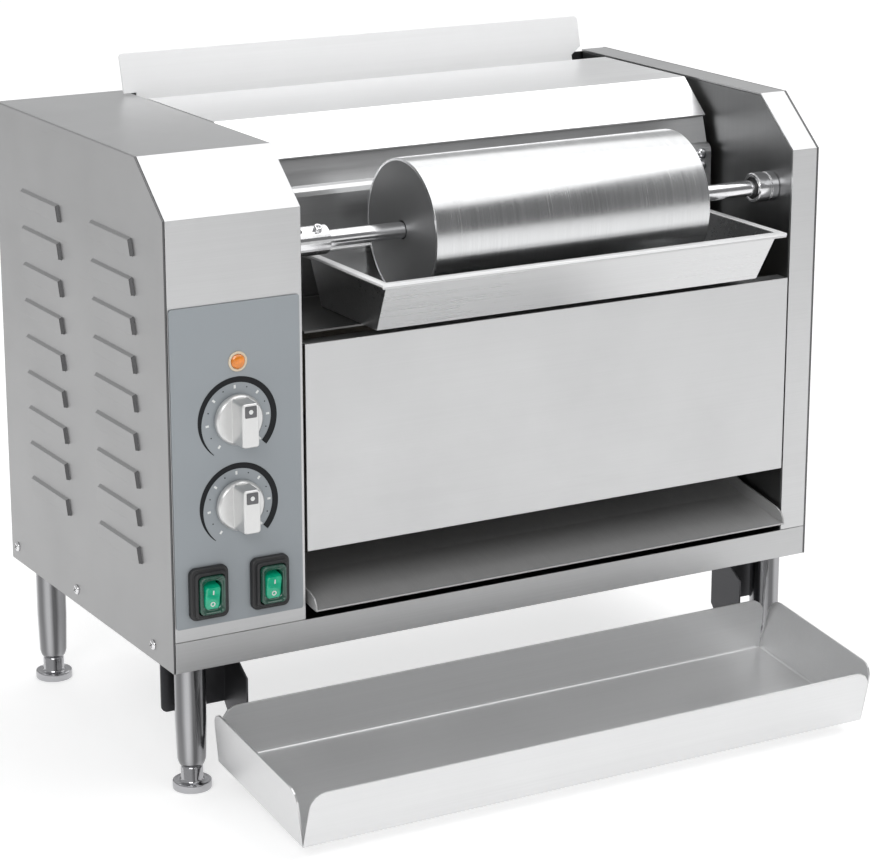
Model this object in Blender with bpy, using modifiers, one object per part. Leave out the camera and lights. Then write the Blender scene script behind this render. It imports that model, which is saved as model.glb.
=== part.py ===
"""Vertical contact bun toaster with a butter roller, built as an assembly of its real pieces.

Run it with: blender --background --python part.py

Units are metres and +Z is up. The operator stands on the -Y side. The world origin is the
bottom centre of the whole machine, with its tray. The design itself is laid out in machine
coordinates: x across from the middle of the body, y back from its front face, and z up from
the underside of its base. at() turns a machine position into a world position.
"""
import math

import bmesh
import bpy
from mathutils import Matrix, Vector

MM = 0.001

# Driving dimensions of the body
BODY_WIDTH = 572 * MM
BODY_DEPTH = 315 * MM
BODY_HEIGHT = 378 * MM
CHAMFER_BACK = 46 * MM
CHAMFER_DROP = 39 * MM
RAIL_HEIGHT = 23.5 * MM
CONTROL_WIDTH = 109 * MM
TOWER_WIDTH = 25 * MM
LEG_HEIGHT = 102 * MM
SHEET = 1.5 * MM
GAP = 0.4 * MM
FLAT = SHEET + GAP

# Louvers in the left side panel
LOUVER_RISE = 2.3 * MM
LOUVER_HEIGHT = 13 * MM
LOUVER_LENGTH = 76 * MM
LOUVER_END_SLOPE = 0.31
LOUVER_END_LEAN = 0.80
LOUVER_TOP_SLOPE = 0.75
LOUVER_WALL = 0.9 * MM
LOUVER_PITCH = 29.2 * MM
LOUVER_ROWS = 9
LOUVER_TOP_Z = 311 * MM
LOUVER_COLUMNS_Y = (91 * MM, 226 * MM)

# Hood, roller recess and bun slot
HOOD_FRONT_Y = 114 * MM
HOOD_FRONT_Z = 351 * MM
HOOD_BEND_Y = 145 * MM
HOOD_REAR_Y = 266 * MM
HOOD_REAR_DROP = 22 * MM
SIDE_SLOT = 6 * MM
RECESS_Y = 104 * MM
SHELF_Z = 243.6 * MM

# Butter roller and its drive line, all on one axis
ROLLER_RADIUS = 54 * MM
ROLLER_LENGTH = 242 * MM
ROLLER_LEFT_X = -78 * MM
ROLLER_Y = 28 * MM
ROLLER_Z = 306 * MM
SHAFT_RADIUS = 6.35 * MM
BORE_RADIUS = 6.75 * MM
COUPLING_RADIUS = 11 * MM
COUPLING_LENGTH = 33 * MM
BUSHING_RADIUS = 12 * MM
BUSHING_LENGTH = 19 * MM

# Butter trough, with its outer sizes at the floor and at the top
TROUGH_FLOOR_LOW = (-124 * MM, -17 * MM)
TROUGH_FLOOR_HIGH = (216 * MM, 71 * MM)
TROUGH_FLARE = (3 * MM, 20 * MM, 3 * MM, 12 * MM)
TROUGH_HEIGHT = 37 * MM
TROUGH_RIM = 6 * MM

# Heated platen and conveyor
PLATEN_Y = 276 * MM
PLATEN_THICKNESS = 12 * MM
PLATEN_LOW_Z = 126 * MM
PLATEN_HIGH_Z = 339 * MM
CONVEYOR_Y = 238 * MM
DRIVE_Z = 134 * MM
IDLER_Z = 318 * MM
DRUM_RADIUS = 20 * MM
BELT_THICKNESS = 3 * MM
BEARING_RADIUS = 15 * MM
BEARING_LENGTH = 8 * MM
CONVEYOR_SIDE = 12 * MM

# Conveyor drive inside the control box
MOTOR_Y = 200 * MM
MOTOR_Z = 214 * MM
SPROCKET_RADIUS = 16 * MM
SPROCKET_WIDTH = 5 * MM
CHAIN_THICKNESS = 3.5 * MM

# Removable front panel and the discharge chute
PANEL_LOW_Z = 77 * MM
PANEL_HIGH_Z = 236 * MM
PANEL_RETURN = 14 * MM
PANEL_SIDE = 2.5 * MM
CHUTE_SIDE = 4 * MM

# Bun feed flap
FLAP_LEAN = math.radians(15)
FLAP_Y = 279 * MM
FLAP_TOP_Z = 410 * MM
FLAP_CORNER = 3 * MM

# Controls on the front of the control box
OVERLAY_THICKNESS = 0.8 * MM
OVERLAY_LOW = (-283.5 * MM, 34 * MM)
OVERLAY_HIGH = (-179.5 * MM, 275 * MM)
LAMP_X = -230 * MM
LAMP_Z = 231 * MM
LAMP_RADIUS = 6.6 * MM
KNOB_X = -231 * MM
KNOB_RADIUS = 19 * MM
KNOB_HEIGHT = 22 * MM
GRIP_WIDTH = 14 * MM
KNOB_HEIGHTS_Z = {"heat": 188 * MM, "speed": 123 * MM}
SWITCH_Z = 60 * MM
SWITCHES_X = {"power": -258 * MM, "roller": -208 * MM}
SWITCH_BODY = (27 * MM, 36 * MM)
SWITCH_BEZEL = (31 * MM, 40 * MM)
SWITCH_MOUTH = (21.5 * MM, 30.5 * MM)
ROCKER_TILT = math.radians(10)

# Legs with adjustable feet
LEG_INSET = 23 * MM
LEG_RADIUS = 12 * MM
LEG_TUBE = 83 * MM
FOOT_RADIUS = 15 * MM
FOOT_DISC = 7 * MM
FOOT_NECK = 8.5 * MM
FOOT_STEM = 5 * MM

# Bun tray, which tips down to the front, and the brackets under the base that carry it
TRAY_TILT = math.radians(7)
TRAY_REAR_Y = -3 * MM
TRAY_REAR_Z = -74 * MM
TRAY_WIDTH = 494 * MM
TRAY_X = -6 * MM
TRAY_DEPTH = 138 * MM
TRAY_WALL = 45 * MM
TRAY_SIDE_FLARE = 7 * MM
TRAY_FRONT_FLARE = 6 * MM
TRAY_CORNER = 12 * MM
BRACKET_X = 224 * MM
BRACKET_OUTER_X = 278 * MM
BRACKET_Y = 42 * MM
BRACKET_DROP = 46 * MM

# Cord gland on the rear panel
GLAND_X = -240 * MM
GLAND_Z = 45 * MM
GLAND_RADIUS = 13 * MM
GLAND_REACH = 14 * MM

# Places worked out from the sizes above
LEFT = -BODY_WIDTH / 2
RIGHT = BODY_WIDTH / 2
BOX_EDGE = LEFT + CONTROL_WIDTH
TOWER_EDGE = RIGHT - TOWER_WIDTH
TRAY_REACH = ((TRAY_DEPTH + TRAY_FRONT_FLARE) * math.cos(TRAY_TILT)
              + TRAY_WALL * math.sin(TRAY_TILT) - TRAY_REAR_Y)
SHIFT_X = LOUVER_RISE / 2
SHIFT_Y = (TRAY_REACH - BODY_DEPTH - GLAND_REACH) / 2

# Finish name: colour, roughness, metallic
FINISHES = {
    "steel": ((0.63, 0.64, 0.65), 0.30, 1.0),
    "bright_steel": ((0.72, 0.72, 0.73), 0.18, 1.0),
    "dark_steel": ((0.22, 0.22, 0.23), 0.40, 1.0),
    "chrome": ((0.80, 0.80, 0.82), 0.08, 1.0),
    "aluminium": ((0.70, 0.70, 0.71), 0.35, 1.0),
    "zinc": ((0.58, 0.58, 0.56), 0.30, 1.0),
    "motor_grey": ((0.25, 0.26, 0.28), 0.50, 0.3),
    "black_plastic": ((0.03, 0.03, 0.03), 0.45, 0.0),
    "grey_film": ((0.45, 0.47, 0.49), 0.50, 0.0),
    "pale_plastic": ((0.68, 0.69, 0.68), 0.35, 0.0),
    "green_plastic": ((0.02, 0.45, 0.28), 0.25, 0.0),
    "amber_lens": ((0.85, 0.35, 0.03), 0.15, 0.0),
    "belt": ((0.35, 0.33, 0.30), 0.60, 0.0),
}

PLANES = {
    "X": Matrix(((0, 0, 1), (1, 0, 0), (0, 1, 0))),
    "Y": Matrix(((1, 0, 0), (0, 0, -1), (0, 1, 0))),
    "Z": Matrix.Identity(3),
}


def at(x, y, z):
    """World position of a point in machine coordinates."""
    return Vector((x + SHIFT_X, y + SHIFT_Y, z + LEG_HEIGHT))


def clear_scene():
    for item in list(bpy.data.objects):
        bpy.data.objects.remove(item, do_unlink=True)


def new_collection(name):
    collection = bpy.data.collections.new(name)
    bpy.context.scene.collection.children.link(collection)
    return collection


clear_scene()
PARTS = new_collection("bun_toaster")
CUTTERS = new_collection("cutters")


def new_material(name, finish):
    colour, roughness, metallic = FINISHES[finish]
    material = bpy.data.materials.new(name)
    material.use_nodes = True
    shader = material.node_tree.nodes["Principled BSDF"]
    shader.inputs["Base Color"].default_value = (*colour, 1)
    shader.inputs["Roughness"].default_value = roughness
    shader.inputs["Metallic"].default_value = metallic
    material.diffuse_color = (*colour, 1)
    return material


def add_mesh(name, bm, finish, origin):
    """Put a bmesh into the scene as a part, or as a cutter when it has no finish."""
    mesh = bpy.data.meshes.new(name)
    bm.to_mesh(mesh)
    bm.free()
    return add_object(name, mesh, finish, origin)


def add_object(name, mesh, finish, origin):
    part = bpy.data.objects.new(name, mesh)
    part.location = origin
    mesh.shade_smooth()
    mesh.set_sharp_from_angle(angle=math.radians(35))
    if finish:
        mesh.materials.append(new_material(name, finish))
        PARTS.objects.link(part)
    else:
        part.hide_render = True
        part.display_type = "WIRE"
        CUTTERS.objects.link(part)
    return part


def scaled_cube(bm, size, centre=(0, 0, 0)):
    frame = Matrix.LocRotScale(Vector(centre), None, Vector(size))
    return bmesh.ops.create_cube(bm, size=1, matrix=frame)["verts"]


def box(name, low, high, finish=None):
    """Rectangular block between two corners in machine coordinates."""
    low = Vector(low)
    high = Vector(high)
    bm = bmesh.new()
    scaled_cube(bm, high - low)
    return add_mesh(name, bm, finish, at(*((low + high) / 2)))


def rod(name, start, axis, length, radius, finish=None, sides=24):
    """Plain cylinder that begins at start and runs along axis."""
    turn = Vector((0, 0, 1)).rotation_difference(Vector(axis)).to_matrix().to_4x4()
    bm = bmesh.new()
    bmesh.ops.create_cone(bm, cap_ends=True, segments=sides, radius1=radius,
                          radius2=radius, depth=length, matrix=turn)
    middle = Vector(start) + Vector(axis).normalized() * length / 2
    return add_mesh(name, bm, finish, at(*middle))


def turned(name, origin, axis, profile, finish=None, steps=24, ring=False):
    """Turned solid: (radius, distance along axis) points, down the outer side first."""
    bm = bmesh.new()
    corners = [bm.verts.new((radius, 0, along)) for radius, along in profile]
    ends = corners[1:] + corners[:1] if ring else corners[1:]
    for corner, following in zip(corners, ends):
        bm.edges.new((corner, following))
    part = add_mesh(name, bm, finish, at(*origin))
    turn = Vector((0, 0, 1)).rotation_difference(Vector(axis))
    part.rotation_euler = turn.to_euler()
    screw = part.modifiers.new("turn", "SCREW")
    screw.steps = steps
    screw.render_steps = steps
    screw.use_merge_vertices = True
    screw.merge_threshold = 0.01 * MM
    return part


def sleeve(name, origin, axis, length, outer, inner, finish, steps=24):
    profile = [(outer, length), (outer, 0), (inner, 0), (inner, length)]
    return turned(name, origin, axis, profile, finish, steps, ring=True)


def rounded(outline, radii, steps=4):
    """Outline whose corners with a radius are replaced by arcs."""
    points = []
    for index, (corner, radius) in enumerate(zip(outline, radii)):
        corner = Vector(corner)
        if not radius:
            points.append(corner)
            continue
        before = (Vector(outline[index - 1]) - corner).normalized()
        after = (Vector(outline[(index + 1) % len(outline)]) - corner).normalized()
        half = before.angle(after) / 2
        centre = corner + (before + after).normalized() * radius / math.sin(half)
        start = corner + before * radius / math.tan(half) - centre
        end = corner + after * radius / math.tan(half) - centre
        for step in range(steps + 1):
            along = start.lerp(end, step / steps)
            points.append(centre + along.normalized() * radius)
    return points


def inset(outline, distance):
    """Outline moved inwards by a distance, for one that runs anticlockwise."""
    moved = []
    for index, corner in enumerate(outline):
        corner = Vector(corner)
        before = (corner - Vector(outline[index - 1])).normalized()
        after = (Vector(outline[(index + 1) % len(outline)]) - corner).normalized()
        inward = Vector((-before.y, before.x)) + Vector((-after.y, after.x))
        moved.append(corner + inward * 2 * distance / inward.length_squared)
    return moved


def plate(name, outlines, normal, low, thickness, finish=None):
    """Flat plate: its outline, then any holes, thickened along X, Y or Z from low."""
    curve = bpy.data.curves.new(name, "CURVE")
    curve.dimensions = "2D"
    curve.fill_mode = "BOTH"
    curve.extrude = thickness / 2
    for outline in outlines:
        spline = curve.splines.new("POLY")
        spline.points.add(len(outline) - 1)
        for point, (u, v) in zip(spline.points, outline):
            point.co = (u, v, 0, 1)
        spline.use_cyclic_u = True
    holder = bpy.data.objects.new(name, curve)
    PARTS.objects.link(holder)
    solid = holder.evaluated_get(bpy.context.evaluated_depsgraph_get())
    mesh = bpy.data.meshes.new_from_object(solid)
    bpy.data.objects.remove(holder)
    bm = bmesh.new()
    bm.from_mesh(mesh)
    bpy.data.meshes.remove(mesh)
    bmesh.ops.remove_doubles(bm, verts=bm.verts, dist=0.01 * MM)
    bmesh.ops.transform(bm, matrix=PLANES[normal].to_4x4(), verts=bm.verts)
    origin = {"X": (low + thickness / 2, 0, 0), "Y": (0, low + thickness / 2, 0),
              "Z": (0, 0, low + thickness / 2)}[normal]
    return add_mesh(name, bm, finish, at(*origin))


def add_thickness(part, thickness=SHEET):
    """Thicken an open surface away from its outer side."""
    solid = part.modifiers.new("sheet", "SOLIDIFY")
    solid.thickness = thickness
    solid.offset = -1
    solid.use_even_offset = True
    return part


def folded(name, path, low, high, finish, thickness=SHEET):
    """Folded sheet: an open (y, z) path drawn out from x = low to x = high."""
    bm = bmesh.new()
    rows = [[bm.verts.new((x, y, z)) for x in (0, high - low)] for y, z in path]
    for row, following in zip(rows, rows[1:]):
        bm.faces.new((row[0], row[1], following[1], following[0]))
    part = add_mesh(name, bm, finish, at(low, 0, 0))
    return add_thickness(part, thickness)


def tub(name, low, high, height, flare, rim, finish):
    """Open sheet tub: a floor from low to high, walls that flare out, and a flat rim.

    flare is how far the left, front, right and rear walls lean out at the top.
    """
    left, front, right, rear = flare
    bm = bmesh.new()
    size = (high[0] - low[0], high[1] - low[1], height)
    scaled_cube(bm, size)
    lid = max(bm.faces, key=lambda face: face.calc_center_median().z)
    for corner in lid.verts:
        corner.co.x += right if corner.co.x > 0 else -left
        corner.co.y += rear if corner.co.y > 0 else -front
    rim_edges = list(lid.edges)
    bmesh.ops.delete(bm, geom=[lid], context="FACES_ONLY")
    if rim:
        grown = bmesh.ops.extrude_edge_only(bm, edges=rim_edges)["geom"]
        for corner in (item for item in grown if isinstance(item, bmesh.types.BMVert)):
            corner.co.x += math.copysign(rim, corner.co.x)
            corner.co.y += math.copysign(rim, corner.co.y)
    middle = ((low[0] + high[0]) / 2, (low[1] + high[1]) / 2, low[2] + height / 2)
    part = add_mesh(name, bm, finish, at(*middle))
    return add_thickness(part)


def boolean(part, tool, operation):
    modifier = part.modifiers.new(tool.name, "BOOLEAN")
    modifier.operation = operation
    modifier.object = tool
    return part


def cut(part, *tools):
    for tool in tools:
        boolean(part, tool, "DIFFERENCE")
    return part


def join(part, *tools):
    for tool in tools:
        boolean(part, tool, "UNION")
    return part


def side_outline():
    """Side view of the body, (y, z), anticlockwise from the rear bottom corner."""
    return [(BODY_DEPTH, 0), (BODY_DEPTH, BODY_HEIGHT), (CHAMFER_BACK, BODY_HEIGHT),
            (0, BODY_HEIGHT - CHAMFER_DROP), (0, 0)]


def wall_outline():
    """Side view of the walls that stand on the base, inside the covers."""
    outline = inset(side_outline(), FLAT)
    return [(min(y, BODY_DEPTH - 2 * FLAT), z) for y, z in outline]


def rectangle(low, high):
    return [low, (high[0], low[1]), high, (low[0], high[1])]


def panel_screw_places():
    return [(36 * MM, 12 * MM), (180 * MM, 12 * MM), (303 * MM, 12 * MM)]


def louver_block(bm, y, z, wall):
    """One pressed louver hood: a short sloped top, sloped ends and a flat outer face.

    wall is how much smaller the hood is on each side; the smaller one passes through
    the panel and opens downwards.
    """
    inward = 2 * SHEET if wall else SHEET / 2
    rise = LOUVER_RISE - wall
    top = LOUVER_HEIGHT / 2 - 1.4 * wall
    bottom = -LOUVER_HEIGHT / 2 - wall / 2
    for corner in scaled_cube(bm, (rise + inward, 2, 2), ((inward - rise) / 2, 0, 0)):
        proud = -corner.co.x
        height = top - LOUVER_TOP_SLOPE * proud if corner.co.z > 0 else bottom
        half = (LOUVER_LENGTH / 2 - wall - LOUVER_END_SLOPE * height
                - LOUVER_END_LEAN * proud)
        corner.co.y = y + math.copysign(half, corner.co.y)
        corner.co.z = z + height


def louver_hoods(name, wall):
    bm = bmesh.new()
    for y in LOUVER_COLUMNS_Y:
        for row in range(LOUVER_ROWS):
            louver_block(bm, y, LOUVER_TOP_Z - row * LOUVER_PITCH, wall)
    return add_mesh(name, bm, None, at(LEFT, 0, 0))


def make_side_panels():
    panel = plate("left_side_panel", [side_outline()], "X", LEFT, SHEET, "steel")
    join(panel, louver_hoods("louver_hoods", 0))
    cut(panel, louver_hoods("louver_openings", LOUVER_WALL))
    for index, (y, z) in enumerate(panel_screw_places(), 1):
        hole = rod(f"screw_hole_{index}", (LEFT - SHEET, y, z), (1, 0, 0), 5 * SHEET,
                   2.2 * MM, sides=12)
        cut(panel, hole)
    plate("right_side_panel", [side_outline()], "X", RIGHT - SHEET, SHEET, "steel")


def make_base_pan():
    low = (LEFT + FLAT, 0, 0)
    high = (RIGHT - FLAT, BODY_DEPTH - FLAT, 0)
    pan = tub("base_pan", low, high, RAIL_HEIGHT, (0, 0, 0, 0), 0, "steel")
    cut(pan, *(bpy.data.objects[f"screw_hole_{index}"]
               for index in range(1, len(panel_screw_places()) + 1)))


def make_panel_screws():
    profile = [(0, 1.7 * MM), (1.9 * MM, 1.5 * MM), (3.6 * MM, 0.7 * MM), (4 * MM, 0),
               (1.8 * MM, 0), (1.8 * MM, -6 * MM), (0, -6 * MM)]
    for index, (y, z) in enumerate(panel_screw_places(), 1):
        turned(f"panel_screw_{index}", (LEFT - GAP, y, z), (-1, 0, 0), profile,
               "zinc", steps=12)


def cover_path():
    return [(0, RAIL_HEIGHT + GAP), (0, BODY_HEIGHT - CHAMFER_DROP),
            (CHAMFER_BACK, BODY_HEIGHT), (BODY_DEPTH - FLAT, BODY_HEIGHT)]


def control_holes():
    """Cutters for the lamp, the knob spindles and the switches in the front sheets."""
    depth = 8 * MM
    tools = [rod("lamp_hole", (LAMP_X, -depth / 2, LAMP_Z), (0, 1, 0), depth,
                 LAMP_RADIUS - 1 * MM, sides=16)]
    for name, z in KNOB_HEIGHTS_Z.items():
        tools.append(rod(f"{name}_spindle_hole", (KNOB_X, -depth / 2, z), (0, 1, 0),
                         depth, 5 * MM, sides=16))
    width, height = SWITCH_BODY
    for name, x in SWITCHES_X.items():
        low = (x - width / 2 - GAP, -depth / 2, SWITCH_Z - height / 2 - GAP)
        high = (x + width / 2 + GAP, depth / 2, SWITCH_Z + height / 2 + GAP)
        tools.append(box(f"{name}_switch_hole", low, high))
    return tools


def make_control_box():
    holes = control_holes()
    cover = folded("control_box_cover", cover_path(), LEFT + FLAT, BOX_EDGE, "steel")
    cut(cover, *holes)
    outline = rounded(rectangle(OVERLAY_LOW, OVERLAY_HIGH), [2 * MM] * 4)
    overlay = plate("control_overlay", [outline], "Y", -GAP - OVERLAY_THICKNESS,
                    OVERLAY_THICKNESS, "grey_film")
    cut(overlay, *holes)
    wall = plate("control_box_wall", [wall_outline()], "X", BOX_EDGE - SHEET, SHEET,
                 "steel")
    cut(wall, *shaft_holes("box", BOX_EDGE - 2 * SHEET))


def shaft_holes(side, x):
    """Round openings in an inner wall where the conveyor and roller shafts pass."""
    places = {"drive": (CONVEYOR_Y, DRIVE_Z), "idler": (CONVEYOR_Y, IDLER_Z)}
    if side == "box":
        places["butter"] = (ROLLER_Y, ROLLER_Z)
    return [rod(f"{side}_{name}_hole", (x, y, z), (1, 0, 0), 5 * SHEET, 9 * MM, sides=16)
            for name, (y, z) in places.items()]


def make_right_tower():
    folded("right_tower_cover", cover_path(), TOWER_EDGE, RIGHT - FLAT, "steel")
    wall = plate("right_tower_wall", [wall_outline()], "X", TOWER_EDGE, SHEET, "steel")
    cut(wall, *shaft_holes("tower", TOWER_EDGE - SHEET))


def make_rear_panel():
    outline = rectangle((LEFT + FLAT, 0), (RIGHT - FLAT, BODY_HEIGHT - FLAT))
    panel = plate("rear_panel", [outline], "Y", BODY_DEPTH - SHEET, SHEET, "steel")
    slots = bmesh.new()
    for column in (-215 * MM, 215 * MM):
        for row in range(6):
            scaled_cube(slots, (50 * MM, 4 * SHEET, 5 * MM), (column, 0, row * 16 * MM))
    cut(panel, add_mesh("rear_vents", slots, None, at(0, BODY_DEPTH, 200 * MM)))
    cut(panel, rod("gland_hole", (GLAND_X, BODY_DEPTH - 3 * SHEET, GLAND_Z), (0, 1, 0),
                   6 * SHEET, 8.4 * MM, sides=16))


def make_cord_gland():
    origin = (GLAND_X, BODY_DEPTH, GLAND_Z)
    bore = 4.5 * MM
    profile = [(9 * MM, GLAND_REACH), (GLAND_RADIUS, GLAND_REACH - 3 * MM),
               (GLAND_RADIUS, GAP), (8 * MM, GAP), (8 * MM, -10 * MM), (bore, -10 * MM),
               (bore, GLAND_REACH)]
    turned("cord_gland", origin, (0, 1, 0), profile, "black_plastic", 20, ring=True)


def make_hood():
    path = [(HOOD_FRONT_Y, HOOD_FRONT_Z), (HOOD_BEND_Y, BODY_HEIGHT),
            (HOOD_REAR_Y, BODY_HEIGHT), (HOOD_REAR_Y, BODY_HEIGHT - HOOD_REAR_DROP)]
    folded("hood", path, BOX_EDGE + 1.5 * MM, TOWER_EDGE - SIDE_SLOT, "bright_steel")


def make_recess_wall():
    """Shelf under the trough, and the wall behind the roller with its rounded ledge."""
    step = 7 * MM
    ledge_z = 322 * MM
    arc = [(RECESS_Y + step * (1 - math.cos(angle)), ledge_z + step * math.sin(angle))
           for angle in (math.pi / 6, math.pi / 3, math.pi / 2)]
    path = [(PANEL_RETURN - 6 * MM, SHELF_Z), (RECESS_Y, SHELF_Z), (RECESS_Y, ledge_z),
            *arc, (118 * MM, 351.2 * MM)]
    wall = folded("recess_wall", path, BOX_EDGE + SIDE_SLOT, TOWER_EDGE - SIDE_SLOT, "steel")
    beside_trough = TROUGH_FLOOR_HIGH[0] + 4 * MM
    cut(wall, box("shelf_notch", (beside_trough, 0, SHELF_Z - 10 * MM),
                  (TOWER_EDGE, RECESS_Y - 4 * MM, SHELF_Z + 10 * MM)))


def make_front_panel():
    path = [(PANEL_RETURN, PANEL_LOW_Z), (0, PANEL_LOW_Z), (0, PANEL_HIGH_Z),
            (PANEL_RETURN, PANEL_HIGH_Z)]
    folded("front_panel", path, BOX_EDGE + PANEL_SIDE, TOWER_EDGE - 1.5 * MM, "steel")


def make_discharge_chute():
    """Sloped slide with low side walls that round down to its front lip."""
    stations = [(-10 * MM, 32 * MM, 0.8 * MM), (-9 * MM, 32 * MM, 5 * MM),
                (-6 * MM, 32.2 * MM, 9 * MM), (0, 33 * MM, 11 * MM),
                (50 * MM, 41 * MM, 12 * MM), (296 * MM, 117 * MM, 12 * MM)]
    low = BOX_EDGE + CHUTE_SIDE
    high = TOWER_EDGE - CHUTE_SIDE
    bm = bmesh.new()
    rows = []
    for y, z, wall in stations:
        rows.append([bm.verts.new(place) for place in (
            (0, y, z + wall), (0, y, z), (high - low, y, z), (high - low, y, z + wall))])
    for row, following in zip(rows, rows[1:]):
        for near in range(3):
            bm.faces.new((row[near], following[near], following[near + 1], row[near + 1]))
    part = add_mesh("discharge_chute", bm, "dark_steel", at(low, 0, 0))
    add_thickness(part, 1.2 * MM)


def make_bun_flap():
    """Sheet that leans back over the bun slot; its narrower foot stands on the platen.

    Its left wing comes down to just above the roof of the control box.
    """
    foot = PLATEN_HIGH_Z + 2 * GAP
    height = (FLAP_TOP_Z - foot) / math.cos(FLAP_LEAN)
    shoulder = (BODY_HEIGHT + 7 * MM - foot) / math.cos(FLAP_LEAN)
    neck = (BODY_HEIGHT - foot) / math.cos(FLAP_LEAN)
    wing = (BODY_HEIGHT + 1.2 * MM - foot) / math.cos(FLAP_LEAN)
    left = BOX_EDGE + 2 * MM
    outline = [(left, 0), (235 * MM, 0), (235 * MM, neck), (245 * MM, shoulder),
               (245 * MM, height), (-186 * MM, height), (-186 * MM, wing), (left, wing)]
    radii = [0, 0, 0, 0, FLAP_CORNER, FLAP_CORNER, 0, 0]
    flap = plate("bun_flap", [rounded(outline, radii)], "Y", 0, SHEET, "bright_steel")
    flap.location = at(0, FLAP_Y, foot)
    flap.rotation_euler.x = -FLAP_LEAN


def make_platen():
    low_x = BOX_EDGE + 8 * MM
    high_x = TOWER_EDGE - 8 * MM
    box("heated_platen", (low_x, PLATEN_Y, PLATEN_LOW_Z),
        (high_x, PLATEN_Y + PLATEN_THICKNESS, PLATEN_HIGH_Z), "aluminium")
    shield_y = PLATEN_Y + PLATEN_THICKNESS + 4 * MM
    box("heat_shield", (low_x, shield_y, PLATEN_LOW_Z - 4 * MM),
        (high_x, shield_y + SHEET, PLATEN_HIGH_Z - 2 * MM), "steel")


def stadium(low, high, radius, steps=10):
    """Outline of a loop around two equal wheels at low and high, in (y, z)."""
    low = Vector(low)
    high = Vector(high)
    along = (high - low).normalized()
    heading = math.atan2(along.y, along.x)
    points = []
    for centre, start in ((high, heading - math.pi / 2), (low, heading + math.pi / 2)):
        for step in range(steps + 1):
            angle = start + math.pi * step / steps
            points.append(centre + radius * Vector((math.cos(angle), math.sin(angle))))
    return points


def drum_profile(left, right, drum_left, drum_right):
    """Shaft with a drum, measured along +X from left, listed from its far end back."""
    return [(0, right - left), (SHAFT_RADIUS, right - left),
            (SHAFT_RADIUS, drum_right - left), (DRUM_RADIUS, drum_right - left),
            (DRUM_RADIUS, drum_left - left), (SHAFT_RADIUS, drum_left - left),
            (SHAFT_RADIUS, 0), (0, 0)]


def make_conveyor():
    left = BOX_EDGE + CONVEYOR_SIDE
    right = TOWER_EDGE - CONVEYOR_SIDE
    far = TOWER_EDGE + 4 * MM
    near = {"drive": BOX_EDGE - 16 * MM, "idler": BOX_EDGE - 4 * MM}
    for name, z in (("drive", DRIVE_Z), ("idler", IDLER_Z)):
        turned(f"conveyor_{name}_shaft", (near[name], CONVEYOR_Y, z), (1, 0, 0),
               drum_profile(near[name], far, left, right), "aluminium", 28)
        sleeve(f"{name}_bearing_left", (BOX_EDGE + GAP, CONVEYOR_Y, z), (1, 0, 0),
               BEARING_LENGTH, BEARING_RADIUS, BORE_RADIUS, "zinc")
        sleeve(f"{name}_bearing_right", (TOWER_EDGE - GAP - BEARING_LENGTH, CONVEYOR_Y, z),
               (1, 0, 0), BEARING_LENGTH, BEARING_RADIUS, BORE_RADIUS, "zinc")
    inner = stadium((CONVEYOR_Y, DRIVE_Z), (CONVEYOR_Y, IDLER_Z), DRUM_RADIUS + GAP)
    outer = stadium((CONVEYOR_Y, DRIVE_Z), (CONVEYOR_Y, IDLER_Z),
                    DRUM_RADIUS + GAP + BELT_THICKNESS)
    margin = 2 * MM
    plate("conveyor_belt", [outer, inner], "X", left + margin, right - left - 2 * margin,
          "belt")


def make_conveyor_drive():
    """Gearmotor in the control box and the chain that turns the conveyor's lower shaft."""
    sprocket_x = BOX_EDGE - 12 * MM
    chain_x = sprocket_x + (SPROCKET_WIDTH - 4 * MM) / 2
    sleeve("conveyor_sprocket", (sprocket_x, CONVEYOR_Y, DRIVE_Z), (1, 0, 0),
           SPROCKET_WIDTH, SPROCKET_RADIUS, BORE_RADIUS, "zinc")
    face = sprocket_x - 3 * MM
    stub = 14 * MM
    radius = 5 * MM
    profile = [(0, stub + 5 * MM), (radius, stub + 5 * MM), (radius, stub),
               (SPROCKET_RADIUS, stub), (SPROCKET_RADIUS, stub - SPROCKET_WIDTH),
               (radius, stub - SPROCKET_WIDTH), (radius, 0), (0, 0)]
    start = sprocket_x + SPROCKET_WIDTH - stub
    turned("motor_sprocket", (start, MOTOR_Y, MOTOR_Z), (1, 0, 0), profile, "zinc")
    ends = ((CONVEYOR_Y, DRIVE_Z), (MOTOR_Y, MOTOR_Z))
    loops = [stadium(*ends, SPROCKET_RADIUS + GAP + CHAIN_THICKNESS, 8),
             stadium(*ends, SPROCKET_RADIUS + GAP, 8)]
    plate("drive_chain", loops, "X", chain_x, 4 * MM, "dark_steel")
    gearbox = box("conveyor_gearmotor", (face - 34 * MM, MOTOR_Y - 30 * MM, MOTOR_Z - 30 * MM),
                  (face, MOTOR_Y + 30 * MM, MOTOR_Z + 30 * MM), "motor_grey")
    join(gearbox, rod("conveyor_motor_can", (face - 80 * MM, MOTOR_Y, MOTOR_Z), (1, 0, 0),
                      48 * MM, 27 * MM))
    cut(gearbox, rod("conveyor_motor_bore", (start - 3 * MM, MOTOR_Y, MOTOR_Z), (1, 0, 0),
                     30 * MM, radius + 0.4 * MM))


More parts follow.
